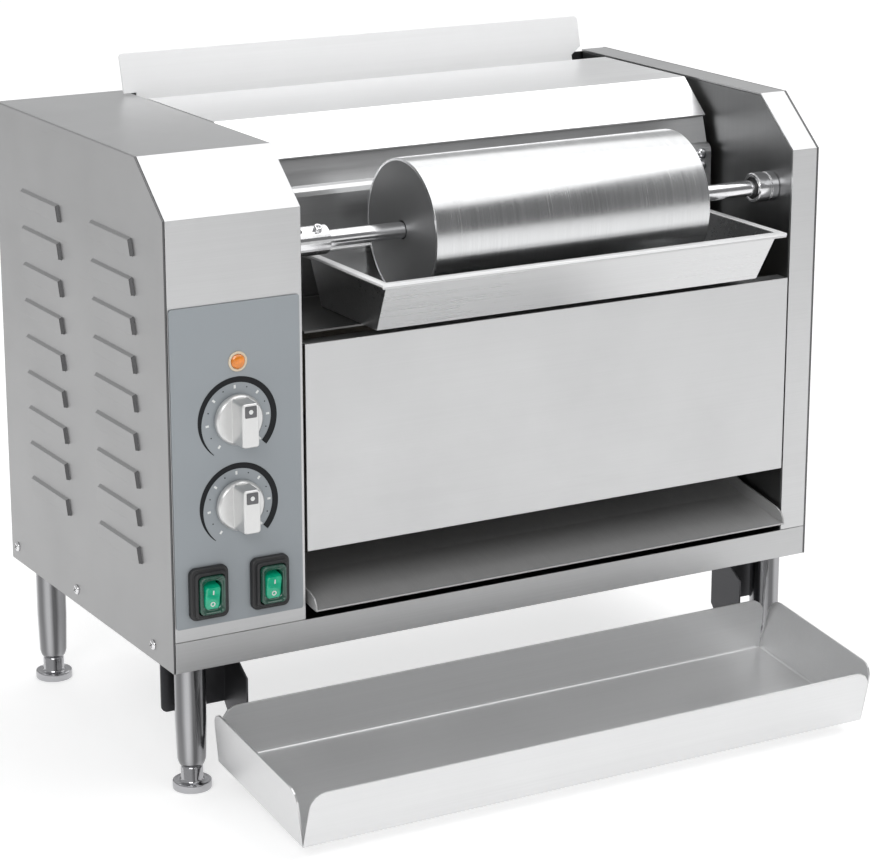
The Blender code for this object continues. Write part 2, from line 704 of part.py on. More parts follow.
def make_butter_drive():
    """Small gearmotor behind the control panel, on the roller's axis."""
    face = BOX_EDGE - 8 * MM
    half = 22 * MM
    gearbox = box("butter_gearmotor", (face - 36 * MM, ROLLER_Y - half, ROLLER_Z - half),
                  (face, ROLLER_Y + half, ROLLER_Z + half), "motor_grey")
    join(gearbox, rod("butter_motor_can", (face - 84 * MM, ROLLER_Y, ROLLER_Z), (1, 0, 0),
                      50 * MM, 20 * MM))
    cut(gearbox, rod("butter_motor_bore", (face - 20 * MM, ROLLER_Y, ROLLER_Z), (1, 0, 0),
                     30 * MM, BORE_RADIUS))
    start = face - 18 * MM
    middle = BOX_EDGE + 11 * MM
    rod("butter_motor_shaft", (start, ROLLER_Y, ROLLER_Z), (1, 0, 0), middle - start,
        SHAFT_RADIUS, "bright_steel")


def make_butter_roller():
    axis = (ROLLER_Y, ROLLER_Z)
    wall = 2 * MM
    far = ROLLER_LENGTH
    profile = [(ROLLER_RADIUS, far), (ROLLER_RADIUS, 0), (BORE_RADIUS, 0),
               (BORE_RADIUS, wall), (ROLLER_RADIUS - wall, wall),
               (ROLLER_RADIUS - wall, far - wall), (BORE_RADIUS, far - wall),
               (BORE_RADIUS, far)]
    turned("butter_roller", (ROLLER_LEFT_X, *axis), (1, 0, 0), profile, "bright_steel",
           64, ring=True)
    shaft_start = BOX_EDGE + 12 * MM
    shaft_end = TOWER_EDGE - 3 * MM
    rod("butter_roller_shaft", (shaft_start, *axis), (1, 0, 0), shaft_end - shaft_start,
        SHAFT_RADIUS, "bright_steel")
    coupling = sleeve("shaft_coupling", (BOX_EDGE + 1 * MM, *axis), (1, 0, 0),
                      COUPLING_LENGTH, COUPLING_RADIUS, BORE_RADIUS, "bright_steel", 32)
    radial = Vector((0, -0.55, 0.84)).normalized()
    seat = Vector((BOX_EDGE + 25 * MM, *axis)) + radial * 8 * MM
    plain_seat = Vector((BOX_EDGE + 10 * MM, *axis)) + radial * 8.5 * MM
    cut(coupling, rod("coupling_screw_seat", seat, radial, 6 * MM, 3.4 * MM, sides=16),
        rod("coupling_set_screw_hole", plain_seat, radial, 6 * MM, 2.4 * MM, sides=16))
    socket = 1.6 * MM
    screw = [(0, 1.5 * MM), (socket, 1.5 * MM), (socket, 4 * MM), (3 * MM, 4 * MM),
             (3 * MM, 0), (0, 0)]
    turned("coupling_screw", seat + radial * GAP, radial, screw, "bright_steel", 16)
    sleeve("roller_bushing", (TOWER_EDGE - GAP - BUSHING_LENGTH, *axis), (1, 0, 0),
           BUSHING_LENGTH, BUSHING_RADIUS, BORE_RADIUS, "bright_steel", 32)


def make_butter_trough():
    low = (*TROUGH_FLOOR_LOW, SHELF_Z + GAP)
    tub("butter_trough", low, TROUGH_FLOOR_HIGH, TROUGH_HEIGHT, TROUGH_FLARE, TROUGH_RIM,
        "steel")


def make_pilot_lamp():
    face = -GAP - OVERLAY_THICKNESS - 0.3 * MM
    stem = LAMP_RADIUS - 1.5 * MM
    profile = [(0, 3 * MM), (0.55 * LAMP_RADIUS, 2.6 * MM), (0.9 * LAMP_RADIUS, 1.5 * MM),
               (LAMP_RADIUS, 0), (stem, 0), (stem, -14 * MM), (0, -14 * MM)]
    turned("pilot_lamp", (LAMP_X, face, LAMP_Z), (0, -1, 0), profile, "amber_lens", 20)


def make_knobs():
    face = -GAP - OVERLAY_THICKNESS - 0.6 * MM
    skirt = 5 * MM
    spindle = 4 * MM
    profile = [(0, skirt), (KNOB_RADIUS - 1.5 * MM, skirt), (KNOB_RADIUS, skirt - 2 * MM),
               (KNOB_RADIUS, 0), (spindle, 0), (spindle, -12 * MM), (0, -12 * MM)]
    for name, z in KNOB_HEIGHTS_Z.items():
        knob = turned(f"{name}_knob", (KNOB_X, face, z), (0, -1, 0), profile,
                      "pale_plastic", 32)
        half = GRIP_WIDTH / 2
        reach = 0.9 * KNOB_RADIUS
        grip = box(f"{name}_knob_grip", (KNOB_X - half, face - KNOB_HEIGHT, z - reach),
                   (KNOB_X + half, face - 1 * MM, z + reach))
        join(knob, grip)


def make_regulators():
    """Thermostat and speed control behind the panel, on the knobs' axes."""
    behind = 16 * MM
    rod("thermostat", (KNOB_X, behind, KNOB_HEIGHTS_Z["heat"]), (0, 1, 0), 30 * MM,
        21 * MM, "zinc")
    z = KNOB_HEIGHTS_Z["speed"]
    box("speed_control", (KNOB_X - 20 * MM, behind, z - 18 * MM),
        (KNOB_X + 20 * MM, behind + 26 * MM, z + 18 * MM), "black_plastic")
    box("terminal_block", (-272 * MM, 262 * MM, 30 * MM), (-200 * MM, 290 * MM, 52 * MM),
        "black_plastic")


def make_switch(name, x):
    """Rocker switch: a housing clipped through the panel and a rocker on a cross pin."""
    face = -GAP - OVERLAY_THICKNESS - GAP
    proud = 4 * MM
    (body_w, body_h), (bezel_w, bezel_h) = SWITCH_BODY, SWITCH_BEZEL
    mouth_w, mouth_h = SWITCH_MOUTH
    housing = box(f"{name}_switch_housing", (x - bezel_w / 2, face - proud, SWITCH_Z - bezel_h / 2),
                  (x + bezel_w / 2, face, SWITCH_Z + bezel_h / 2), "black_plastic")
    join(housing, box(f"{name}_switch_body", (x - body_w / 2, face - 1 * MM, SWITCH_Z - body_h / 2),
                      (x + body_w / 2, 30 * MM, SWITCH_Z + body_h / 2)))
    cut(housing, box(f"{name}_switch_mouth", (x - mouth_w / 2, -20 * MM, SWITCH_Z - mouth_h / 2),
                     (x + mouth_w / 2, 9 * MM, SWITCH_Z + mouth_h / 2)))
    pivot_y = 0.5 * MM
    reach = mouth_h / 2 - 2.6 * MM
    outline = [(-4.5 * MM, 0), (-8.5 * MM, -reach), (2 * MM, -reach + 1 * MM), (5 * MM, 0),
               (2 * MM, reach - 1 * MM), (-8.5 * MM, reach)]
    width = mouth_w - 1.2 * MM
    rocker = plate(f"{name}_rocker", [outline], "X", 0, width, "green_plastic")
    rocker.location = at(x, pivot_y, SWITCH_Z)
    rocker.rotation_euler.x = ROCKER_TILT


def make_switches():
    for name, x in SWITCHES_X.items():
        make_switch(name, x)


def make_legs():
    """Four tubes under the base, each with a screw foot that can be let down."""
    bore = FOOT_STEM + GAP
    tube = [(LEG_RADIUS, -GAP), (LEG_RADIUS, -50 * MM), (LEG_RADIUS - 1 * MM, 3 * MM - LEG_TUBE),
            (LEG_RADIUS - 3 * MM, -LEG_TUBE), (bore, -LEG_TUBE), (bore, -GAP)]
    neck_top = -LEG_TUBE - GAP
    disc_top = FOOT_DISC - LEG_HEIGHT
    foot = [(0, -40 * MM), (FOOT_STEM, -40 * MM), (FOOT_STEM, neck_top),
            (FOOT_NECK, neck_top), (FOOT_NECK, disc_top + 2 * MM),
            (FOOT_NECK + 2 * MM, disc_top), (FOOT_RADIUS - 0.7 * MM, disc_top),
            (FOOT_RADIUS, disc_top - 0.7 * MM), (FOOT_RADIUS, 0.7 * MM - LEG_HEIGHT),
            (FOOT_RADIUS - 0.7 * MM, -LEG_HEIGHT), (0, -LEG_HEIGHT)]
    for depth, y in (("front", LEG_INSET), ("rear", BODY_DEPTH - LEG_INSET)):
        for side, x in (("left", LEFT + LEG_INSET), ("right", RIGHT - LEG_INSET)):
            turned(f"leg_{depth}_{side}", (x, y, 0), (0, 0, 1), tube, "chrome", 24, ring=True)
            turned(f"foot_{depth}_{side}", (x, y, 0), (0, 0, 1), foot, "chrome", 24)


def wall_flap(bm, near, far, outward, up, flare, skew):
    """One tray wall above the floor edge near-far, with rounded top corners."""
    along = (far.co - near.co).normalized()
    length = (far.co - near.co).length
    outline = [(0, 0), (length, 0), (length - skew, TRAY_WALL), (skew, TRAY_WALL)]
    shape = rounded(outline, [0, 0, TRAY_CORNER, TRAY_CORNER])
    corners = [near, far]
    for u, v in shape[2:]:
        lean = outward * flare * v / TRAY_WALL
        corners.append(bm.verts.new(near.co + along * u + up * v + lean))
    bm.faces.new(corners)


def make_bun_tray():
    """Sheet tray with open notches at its corners and a tilt down to the front."""
    half = TRAY_WIDTH / 2
    bm = bmesh.new()
    floor = [bm.verts.new(place) for place in (
        (-half, -TRAY_DEPTH, 0), (-half, 0, 0), (half, 0, 0), (half, -TRAY_DEPTH, 0))]
    bm.faces.new(floor)
    up = Vector((0, 0, 1))
    sides = [(floor[0], floor[3], Vector((0, -1, 0)), TRAY_FRONT_FLARE),
             (floor[3], floor[2], Vector((1, 0, 0)), TRAY_SIDE_FLARE),
             (floor[2], floor[1], Vector((0, 1, 0)), 0),
             (floor[1], floor[0], Vector((-1, 0, 0)), TRAY_SIDE_FLARE)]
    for near, far, outward, flare in sides:
        wall_flap(bm, near, far, outward, up, flare, 2 * MM)
    tray = add_mesh("bun_tray", bm, "bright_steel", at(TRAY_X, TRAY_REAR_Y, TRAY_REAR_Z))
    tray.rotation_euler.x = TRAY_TILT
    add_thickness(tray)


def make_tray_brackets():
    """Angle brackets under the base: a rounded plate behind each front leg and an arm."""
    slope = math.tan(TRAY_TILT)
    under = TRAY_REAR_Z - GAP * 2

    def tray_under(y):
        return under + (y - TRAY_REAR_Y) * slope

    front = -110 * MM
    rear = BRACKET_Y + SHEET
    drop = -BRACKET_DROP
    arm = [(rear, -GAP), (rear, drop), (12 * MM, tray_under(0) - 9 * MM),
           (front, tray_under(front) - 7 * MM), (front, tray_under(front)),
           (4 * MM, tray_under(4 * MM)), (4 * MM, -16 * MM), (BRACKET_Y - 14 * MM, -GAP)]
    for name, side in (("left", -1), ("right", 1)):
        inner = side * BRACKET_X
        outer = side * BRACKET_OUTER_X
        back = rounded([(inner, -GAP), (outer, -GAP), (outer, drop), (inner, drop)],
                       [0, 5 * MM, 5 * MM, 0])
        low = min(inner, inner + side * SHEET)
        bracket = plate(f"tray_bracket_{name}", [arm], "X", low, SHEET, "dark_steel")
        join(bracket, plate(f"bracket_back_{name}", [back], "Y", BRACKET_Y, SHEET))


def main():
    make_side_panels()
    make_base_pan()
    make_panel_screws()
    make_control_box()
    make_right_tower()
    make_rear_panel()
    make_cord_gland()
    make_hood()
    make_recess_wall()
    make_front_panel()
    make_discharge_chute()
    make_bun_flap()
    make_platen()
    make_conveyor()
    make_conveyor_drive()
    make_butter_drive()
    make_butter_roller()
    make_butter_trough()
    make_pilot_lamp()
    make_knobs()
    make_regulators()
    make_switches()
    make_legs()
    make_bun_tray()
    make_tray_brackets()


main()
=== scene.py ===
"""Looks for the vertical contact bun toaster: materials, fine pieces, floor, light and camera."""

import math

import bmesh
import bpy
from mathutils import Matrix, Vector


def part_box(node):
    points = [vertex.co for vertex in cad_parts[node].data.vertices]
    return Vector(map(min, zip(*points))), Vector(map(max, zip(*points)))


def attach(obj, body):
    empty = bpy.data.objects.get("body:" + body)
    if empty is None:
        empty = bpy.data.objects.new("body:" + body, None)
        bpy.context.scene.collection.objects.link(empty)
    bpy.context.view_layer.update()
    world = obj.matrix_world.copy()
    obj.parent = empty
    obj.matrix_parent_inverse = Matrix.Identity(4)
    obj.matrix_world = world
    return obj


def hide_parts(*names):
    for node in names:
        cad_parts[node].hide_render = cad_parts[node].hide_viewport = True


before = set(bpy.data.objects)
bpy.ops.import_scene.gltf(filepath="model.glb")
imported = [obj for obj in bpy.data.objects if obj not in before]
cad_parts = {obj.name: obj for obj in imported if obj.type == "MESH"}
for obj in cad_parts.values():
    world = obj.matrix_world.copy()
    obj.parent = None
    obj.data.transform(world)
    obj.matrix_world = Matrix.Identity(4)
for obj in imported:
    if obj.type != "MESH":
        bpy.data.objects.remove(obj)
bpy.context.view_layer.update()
MM = 0.001

# The body's faces, from the right side panel's box and the body's width
BODY_LOW, BODY_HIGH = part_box("right_side_panel")
BODY_WIDTH = 572 * MM
FRONT_Y = BODY_LOW.y
BASE_Z = BODY_LOW.z
REAR_Y = BODY_HIGH.y
RIGHT_X = BODY_HIGH.x
LEFT_X = RIGHT_X - BODY_WIDTH

# Camera, measured from the body's lower front left corner
CAMERA_OFFSET = Vector((-834.5, -1852.1, 769.3)) * MM
CAMERA_AZIMUTH = math.radians(29.75)
CAMERA_ELEVATION = math.radians(16.14)
CAMERA_LENS = 120.4

# From the ground to the body's underside
LEG_HEIGHT = 102 * MM
# The leg tube with the gap under it
LEG_REACH = 83.4 * MM
# From the body's front to the wall behind the roller
RECESS_DEPTH = 104 * MM

# How far the left screws' heads stand off their panel, and how far the right ones are sunk
SKIN = 0.15 * MM
SUNK = 0.9 * MM


def centre(node):
    low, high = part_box(node)
    return (low + high) / 2


# ---------------------------------------------------------------- node materials

class Shader:
    """One Principled material and short calls that add nodes to it."""

    def __init__(self, name, colour, roughness, metallic=0.0, **sockets):
        self.material = bpy.data.materials.new(name)
        self.material.use_nodes = True
        self.tree = self.material.node_tree
        self.bsdf = self.tree.nodes["Principled BSDF"]
        self.colour = (*colour, 1)
        self.roughness = roughness
        self.bsdf.inputs["Base Color"].default_value = self.colour
        self.bsdf.inputs["Roughness"].default_value = roughness
        self.bsdf.inputs["Metallic"].default_value = metallic
        for socket, value in sockets.items():
            self.bsdf.inputs[socket.replace("_", " ")].default_value = value
        self.material.diffuse_color = self.colour
        self.place = self.node("ShaderNodeTexCoord").outputs["Object"]
        self.normal = None

    def node(self, kind, **inputs):
        made = self.tree.nodes.new(kind)
        for socket, value in inputs.items():
            self.plug(made.inputs[socket.replace("_", " ")], value)
        return made

    def plug(self, socket, value):
        if isinstance(value, bpy.types.NodeSocket):
            self.tree.links.new(value, socket)
        else:
            socket.default_value = value

    def stretched(self, scale, turn=(0, 0, 0)):
        """Object coordinates scaled per axis, for grain that runs along the small one."""
        mapping = self.node("ShaderNodeMapping", Vector=self.place, Scale=scale, Rotation=turn)
        return mapping.outputs["Vector"]

    def noise(self, scale, detail=3.0, rough=0.55, turn=(0, 0, 0)):
        vector = self.stretched(scale, turn) if hasattr(scale, "__len__") else self.place
        size = 1.0 if hasattr(scale, "__len__") else scale
        made = self.node("ShaderNodeTexNoise", Vector=vector, Scale=size, Detail=detail,
                         Roughness=rough)
        return made.outputs["Fac"]

    def span(self, value, low, high, out_low=0.0, out_high=1.0):
        made = self.node("ShaderNodeMapRange", Value=value)
        made.inputs["From Min"].default_value = low
        made.inputs["From Max"].default_value = high
        made.inputs["To Min"].default_value = out_low
        made.inputs["To Max"].default_value = out_high
        return made.outputs["Result"]

    def math(self, operation, first, second):
        made = self.node("ShaderNodeMath")
        made.operation = operation
        self.plug(made.inputs[0], first)
        self.plug(made.inputs[1], second)
        return made.outputs["Value"]

    def mix(self, factor, first, second, blend="MIX"):
        made = self.node("ShaderNodeMix")
        made.data_type = "RGBA"
        made.blend_type = blend
        self.plug(made.inputs[0], factor)
        self.plug(made.inputs[6], first)
        self.plug(made.inputs[7], second)
        return made.outputs[2]

    def round_edges(self, radius):
        self.normal = self.node("ShaderNodeBevel", Radius=radius).outputs["Normal"]
        return self

    def bump(self, height, strength, distance):
        made = self.node("ShaderNodeBump", Height=height, Strength=strength, Distance=distance)
        if self.normal:
            self.plug(made.inputs["Normal"], self.normal)
        self.normal = made.outputs["Normal"]
        return self

    def finish(self, colour=None, roughness=None):
        if colour is not None:
            self.plug(self.bsdf.inputs["Base Color"], colour)
        if roughness is not None:
            self.plug(self.bsdf.inputs["Roughness"], roughness)
        if self.normal:
            self.plug(self.bsdf.inputs["Normal"], self.normal)
        return self.material


GRAINS = {
    "X": (7, 900, 900),
    "Y": (900, 7, 900),
    "Z": (900, 900, 7),
}


def brushed(name, colour, roughness, grain="X", contrast=0.05, metallic=1.0, painted_shading=None):
    """Brushed metal: fine grain along one axis, a few longer scratches, faint smudges.

    painted_shading is a function that paints light and shade into the tone on some faces of the
    sheet.
    """
    shader = Shader(name, colour, roughness, metallic)
    shader.round_edges(0.7 * MM)
    fine = shader.noise(GRAINS[grain], 4.0, 0.65)
    coarse = shader.noise(tuple(0.22 * s for s in GRAINS[grain]), 2.0, 0.5)
    streak = shader.math("ADD", shader.math("MULTIPLY", fine, 0.65),
                         shader.math("MULTIPLY", coarse, 0.35))
    smudge = shader.noise(9.0, 5.0, 0.6)
    scratch_scale = tuple(0.9 * s if s > 100 else 14 for s in GRAINS[grain])
    scratch = shader.span(shader.noise(scratch_scale, 1.0, 0.4, (0.05, 0.09, 0.04)),
                          0.74, 0.80)
    dark = tuple(c * (1 - contrast) for c in colour)
    light = tuple(min(1.0, c * (1 + contrast)) for c in colour)
    tone = shader.mix(shader.span(streak, 0.3, 0.7), (*dark, 1), (*light, 1))
    tone = shader.mix(shader.span(smudge, 0.35, 0.75, 0.0, 0.10), tone,
                      (*(c * 0.82 for c in colour), 1))
    # painted light and shade on some faces, from the given function
    if painted_shading:
        tone = painted_shading(shader, tone)
    rough = shader.math("ADD", shader.span(streak, 0.3, 0.7, roughness - 0.05,
                                           roughness + 0.05),
                        shader.span(smudge, 0.3, 0.7, -0.02, 0.05))
    rough = shader.math("ADD", rough, shader.math("MULTIPLY", scratch, 0.08))
    shader.bump(streak, 0.10, 0.05 * MM)
    shader.bump(scratch, 0.05, 0.03 * MM)
    return shader.finish(tone, rough)


def polished(name, colour, roughness):
    """Chrome or polished steel with fine wipe marks and faint spots."""
    shader = Shader(name, colour, roughness, 1.0)
    shader.round_edges(0.5 * MM)
    wipe = shader.noise((260, 260, 60), 4.0, 0.6)
    spots = shader.noise(55.0, 4.0, 0.7)
    tone = shader.mix(shader.span(spots, 0.55, 0.8, 0.0, 0.25), (*colour, 1),
                      (*(c * 0.75 for c in colour), 1))
    rough = shader.math("ADD", shader.span(wipe, 0.35, 0.7, roughness, roughness + 0.05),
                        shader.span(spots, 0.5, 0.8, 0.0, 0.06))
    shader.bump(wipe, 0.04, 0.03 * MM)
    return shader.finish(tone, rough)


def painted_reflection_tube(name, colour, roughness):
    """Drawn and plated tube; the soft dark and light stripes that run along its length are
    painted reflections.
    """
    shader = Shader(name, colour, roughness, 1.0)
    painted_reflection_stripes = shader.noise((95, 95, 1.5), 1.0, 0.4)
    hairline = shader.noise((900, 900, 8), 3.0, 0.6)
    spots = shader.noise(60.0, 4.0, 0.7)
    # painted reflections: dark and light stripes in the base colour
    tone = shader.mix(shader.span(painted_reflection_stripes, 0.38, 0.60), (*(c * 0.30 for c in colour), 1),
                      (*(min(1.0, c * 1.25) for c in colour), 1))
    tone = shader.mix(shader.span(hairline, 0.3, 0.7, 0.0, 0.16), tone,
                      (*(c * 0.6 for c in colour), 1))
    rough = shader.math("ADD", shader.span(hairline, 0.3, 0.7, roughness, roughness + 0.06),
                        shader.span(spots, 0.5, 0.8, 0.0, 0.05))
    shader.bump(hairline, 0.05, 0.03 * MM)
    return shader.finish(tone, rough)


def turned_metal(name, colour, roughness):
    """Lathe-turned metal: fine rings square to the turning axis, which is X."""
    shader = Shader(name, colour, roughness, 1.0)
    shader.round_edges(0.4 * MM)
    scale = (1500, 12, 12)
    rings = shader.noise(scale, 3.0, 0.6)
    bands = shader.noise(tuple(0.05 * s for s in scale), 2.0, 0.5)
    smudge = shader.noise(14.0, 4.0, 0.6)
    tone = shader.mix(shader.span(rings, 0.3, 0.7), (*(c * 0.93 for c in colour), 1),
                      (*(min(1.0, c * 1.04) for c in colour), 1))
    rough = shader.math("ADD", shader.span(rings, 0.3, 0.7, roughness - 0.03,
                                           roughness + 0.04),
                        shader.span(bands, 0.3, 0.7, -0.02, 0.03))
    rough = shader.math("ADD", rough, shader.span(smudge, 0.4, 0.75, 0.0, 0.04))
    shader.bump(rings, 0.03, 0.03 * MM)
    return shader.finish(tone, rough)


def plastic(name, colour, roughness):
    """Moulded plastic with a fine stipple and slightly lighter, smoother patches."""
    shader = Shader(name, colour, roughness)
    shader.round_edges(0.5 * MM)
    stipple = shader.noise(1400.0, 3.0, 0.6)
    wear = shader.noise(38.0, 5.0, 0.65)
    lighter = tuple(min(1.0, c * 1.25 + 0.01) for c in colour)
    tone = shader.mix(shader.span(wear, 0.45, 0.8, 0.0, 0.35), (*colour, 1), (*lighter, 1))
    rough = shader.math("ADD", shader.span(stipple, 0.3, 0.7, roughness - 0.04,
                                           roughness + 0.05),
                        shader.span(wear, 0.4, 0.8, 0.05, -0.05))
    shader.bump(stipple, 0.12, 0.05 * MM)
    return shader.finish(tone, rough)


def silvered_plastic(name, colour, roughness, metallic):
    """Silver-painted moulding: satin and even, with a faint cloudiness in the paint."""
    shader = Shader(name, colour, roughness, metallic)
    shader.round_edges(0.5 * MM)
    cloud = shader.noise(160.0, 3.0, 0.6)
    tone = shader.mix(shader.span(cloud, 0.3, 0.7, 0.0, 0.5), (*colour, 1),
                      (*(c * 0.93 for c in colour), 1))
    return shader.finish(tone)


def clear_plastic(name, colour, roughness, glow):
    """Coloured translucent lens with swirls inside; glow sets its emission, the pilot lamp's own
    light, and on the rocker a painted glow.
    """
    shader = Shader(name, colour, roughness, 0.0, Coat_Weight=0.6, Coat_Roughness=0.06,
                    Emission_Strength=glow, Emission_Color=(*colour, 1))
    swirl = shader.noise(240.0, 3.0, 0.6)
    deep = tuple(c * 0.55 for c in colour)
    tone = shader.mix(shader.span(swirl, 0.3, 0.75), (*deep, 1), (*colour, 1))
    rough = shader.span(swirl, 0.3, 0.7, roughness, roughness + 0.06)
    shader.bump(swirl, 0.06, 0.05 * MM)
    return shader.finish(tone, rough)


def film(name, colour):
    """Printed control film: satin, slightly mottled, with rub marks."""
    shader = Shader(name, colour, 0.42, 0.15)
    shader.round_edges(0.3 * MM)
    weave = shader.noise(2600.0, 2.0, 0.5)
    rub = shader.noise((30, 30, 9), 4.0, 0.6)
    tone = shader.mix(shader.span(rub, 0.35, 0.75, 0.0, 0.22), (*colour, 1),
                      (*(min(1.0, c * 1.12) for c in colour), 1))
    tone = shader.mix(shader.span(weave, 0.3, 0.7, 0.0, 0.10), tone,
                      (*(c * 0.85 for c in colour), 1))
    rough = shader.math("ADD", shader.span(rub, 0.3, 0.7, 0.38, 0.48),
                        shader.span(weave, 0.3, 0.7, -0.02, 0.02))
    shader.bump(weave, 0.06, 0.03 * MM)
    return shader.finish(tone, rough)


def ink(name, colour):
    """Screen-printed ink with a slightly uneven edge to its gloss."""
    shader = Shader(name, colour, 0.45, Specular_IOR_Level=0.2)
    patch = shader.noise(420.0, 4.0, 0.6)
    tone = shader.mix(shader.span(patch, 0.3, 0.75, 0.0, 0.3), (*colour, 1),
                      (*(min(1.0, c * 1.3 + 0.008) for c in colour), 1))
    shader.bump(patch, 0.05, 0.03 * MM)
    return shader.finish(tone, shader.span(patch, 0.3, 0.7, 0.40, 0.52))


def belt_fabric(name, colour):
    """Coated glass fabric: a fine woven grid with heat stains."""
    shader = Shader(name, colour, 0.6)
    split = shader.node("ShaderNodeSeparateXYZ", Vector=shader.place)
    pitch = 2 * math.pi / (1.6 * MM)
    across = shader.math("SINE", shader.math("MULTIPLY", split.outputs["X"], pitch), 0.0)
    along = shader.math("SINE", shader.math("MULTIPLY", split.outputs["Z"], pitch), 0.0)
    weave = shader.math("MULTIPLY", across, along)
    stain = shader.noise(22.0, 5.0, 0.6)
    tone = shader.mix(shader.span(stain, 0.35, 0.75), (*colour, 1),
                      (*(c * 0.6 for c in colour), 1))
    shader.bump(weave, 0.25, 0.15 * MM)
    return shader.finish(tone, shader.span(weave, -1.0, 1.0, 0.52, 0.66))


def cast_grey(name, colour, roughness, metallic):
    """Painted or plated casting with fine orange peel and rubbed spots."""
    shader = Shader(name, colour, roughness, metallic)
    shader.round_edges(0.8 * MM)
    peel = shader.noise(620.0, 3.0, 0.6)
    rub = shader.noise(45.0, 5.0, 0.65)
    tone = shader.mix(shader.span(rub, 0.5, 0.8, 0.0, 0.5), (*colour, 1),
                      (*(min(1.0, c * 1.5 + 0.02) for c in colour), 1))
    shader.bump(peel, 0.15, 0.06 * MM)
    return shader.finish(tone, shader.span(rub, 0.3, 0.8, roughness + 0.06, roughness - 0.08))


def facing(shader):
    """The X, Y and Z of the surface's own direction, in the piece's axes."""
    coordinates = shader.node("ShaderNodeTexCoord")
    return shader.node("ShaderNodeSeparateXYZ", Vector=coordinates.outputs["Normal"]).outputs


def painted_louver_light_and_shade(shader, tone):
    """Painted shade on the faces that point forward, and a painted highlight on the sloped tops
    of the louvers.
    """
    way = facing(shader)
    leaning = shader.span(way["X"], -0.3, -0.5)
    louver_top_highlight = shader.math("MULTIPLY", leaning, shader.span(way["Z"], 0.5, 0.7))
    # painted highlight: the louver tops are mixed towards a lighter grey
    tone = shader.mix(louver_top_highlight, tone, (0.47, 0.47, 0.472, 1))
    # painted shade: the forward faces are mixed towards near black
    return shader.mix(shader.span(way["Y"], -0.35, -0.6), tone, (0.13, 0.13, 0.132, 1))


def painted_shelf_shade(shader, tone):
    """Painted shade on the recess wall's lowest few millimetres, its level shelf under the
    trough.
    """
    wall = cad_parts["recess_wall"]
    floor = (wall.matrix_world.inverted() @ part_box("recess_wall")[0]).z
    height = shader.node("ShaderNodeSeparateXYZ", Vector=shader.place).outputs["Z"]
    shelf_shade_mask = shader.span(height, floor + 1.7 * MM, floor + 4 * MM, 1.0, 0.0)
    # painted shade: the shelf is mixed towards near black
    return shader.mix(shelf_shade_mask, tone, (0.14, 0.139, 0.137, 1))


MATERIALS = {
    # side_steel carries painted shade and painted highlights on its louvers
    "side_steel": brushed("side_steel", (0.35, 0.35, 0.352), 0.34, "Y",
                          painted_shading=painted_louver_light_and_shade),
    "front_steel": brushed("front_steel", (0.58, 0.582, 0.585), 0.33, "X"),
    "rail_steel": brushed("rail_steel", (0.50, 0.502, 0.505), 0.33, "X"),
    "panel_steel": brushed("panel_steel", (0.61, 0.612, 0.615), 0.36, "X", 0.03),
    "bright_steel": brushed("bright_steel", (0.92, 0.922, 0.925), 0.34, "X", 0.03),
    "flap_steel": brushed("flap_steel", (0.97, 0.972, 0.975), 0.42, "X", 0.02, metallic=0.04),
    "tray_steel": brushed("tray_steel", (0.72, 0.722, 0.725), 0.37, "X", 0.03, metallic=0.84),
    "trough_steel": brushed("trough_steel", (0.62, 0.622, 0.625), 0.28, "X", 0.04),
    "inner_steel": brushed("inner_steel", (0.27, 0.272, 0.275), 0.34, "Z", 0.06),
    # recess_steel carries painted shade on its shelf
    "recess_steel": brushed("recess_steel", (0.60, 0.602, 0.605), 0.34, "X", 0.05,
                            painted_shading=painted_shelf_shade),
    "chute_steel": brushed("chute_steel", (0.50, 0.50, 0.50), 0.42, "Y", 0.06, metallic=0.45),
    "dark_steel": brushed("dark_steel", (0.10, 0.10, 0.105), 0.42, "Y", 0.10),
    "chrome": polished("chrome", (0.80, 0.80, 0.82), 0.07),
    # the leg tube's stripes are painted reflections
    "leg_tube": painted_reflection_tube("leg_tube", (0.38, 0.38, 0.39), 0.12),
    "foot_chrome": polished("foot_chrome", (0.46, 0.46, 0.475), 0.10),
    "bright_bar": polished("bright_bar", (0.80, 0.80, 0.81), 0.14),
    "zinc": cast_grey("zinc", (0.55, 0.55, 0.53), 0.34, 1.0),
    "roller_steel": turned_metal("roller_steel", (0.66, 0.665, 0.67), 0.20),
    # The hem's steel is painted brighter and less metallic than the trough's: a painted highlight
    # along the rim.
    "hem_highlight_steel": brushed("hem_highlight_steel", (0.92, 0.922, 0.925), 0.36, "X", 0.02, metallic=0.25),
    "end_steel": brushed("end_steel", (0.30, 0.302, 0.305), 0.48, "Z", 0.04),
    "drum_aluminium": turned_metal("drum_aluminium", (0.62, 0.62, 0.63), 0.36),
    "platen_aluminium": brushed("platen_aluminium", (0.62, 0.62, 0.63), 0.42, "Z", 0.08),
    "motor_paint": cast_grey("motor_paint", (0.16, 0.17, 0.19), 0.46, 0.2),
    "black_plastic": plastic("black_plastic", (0.018, 0.018, 0.019), 0.42),
    "control_film": film("control_film", (0.30, 0.325, 0.345)),
    "belt_fabric": belt_fabric("belt_fabric", (0.17, 0.15, 0.12)),
}

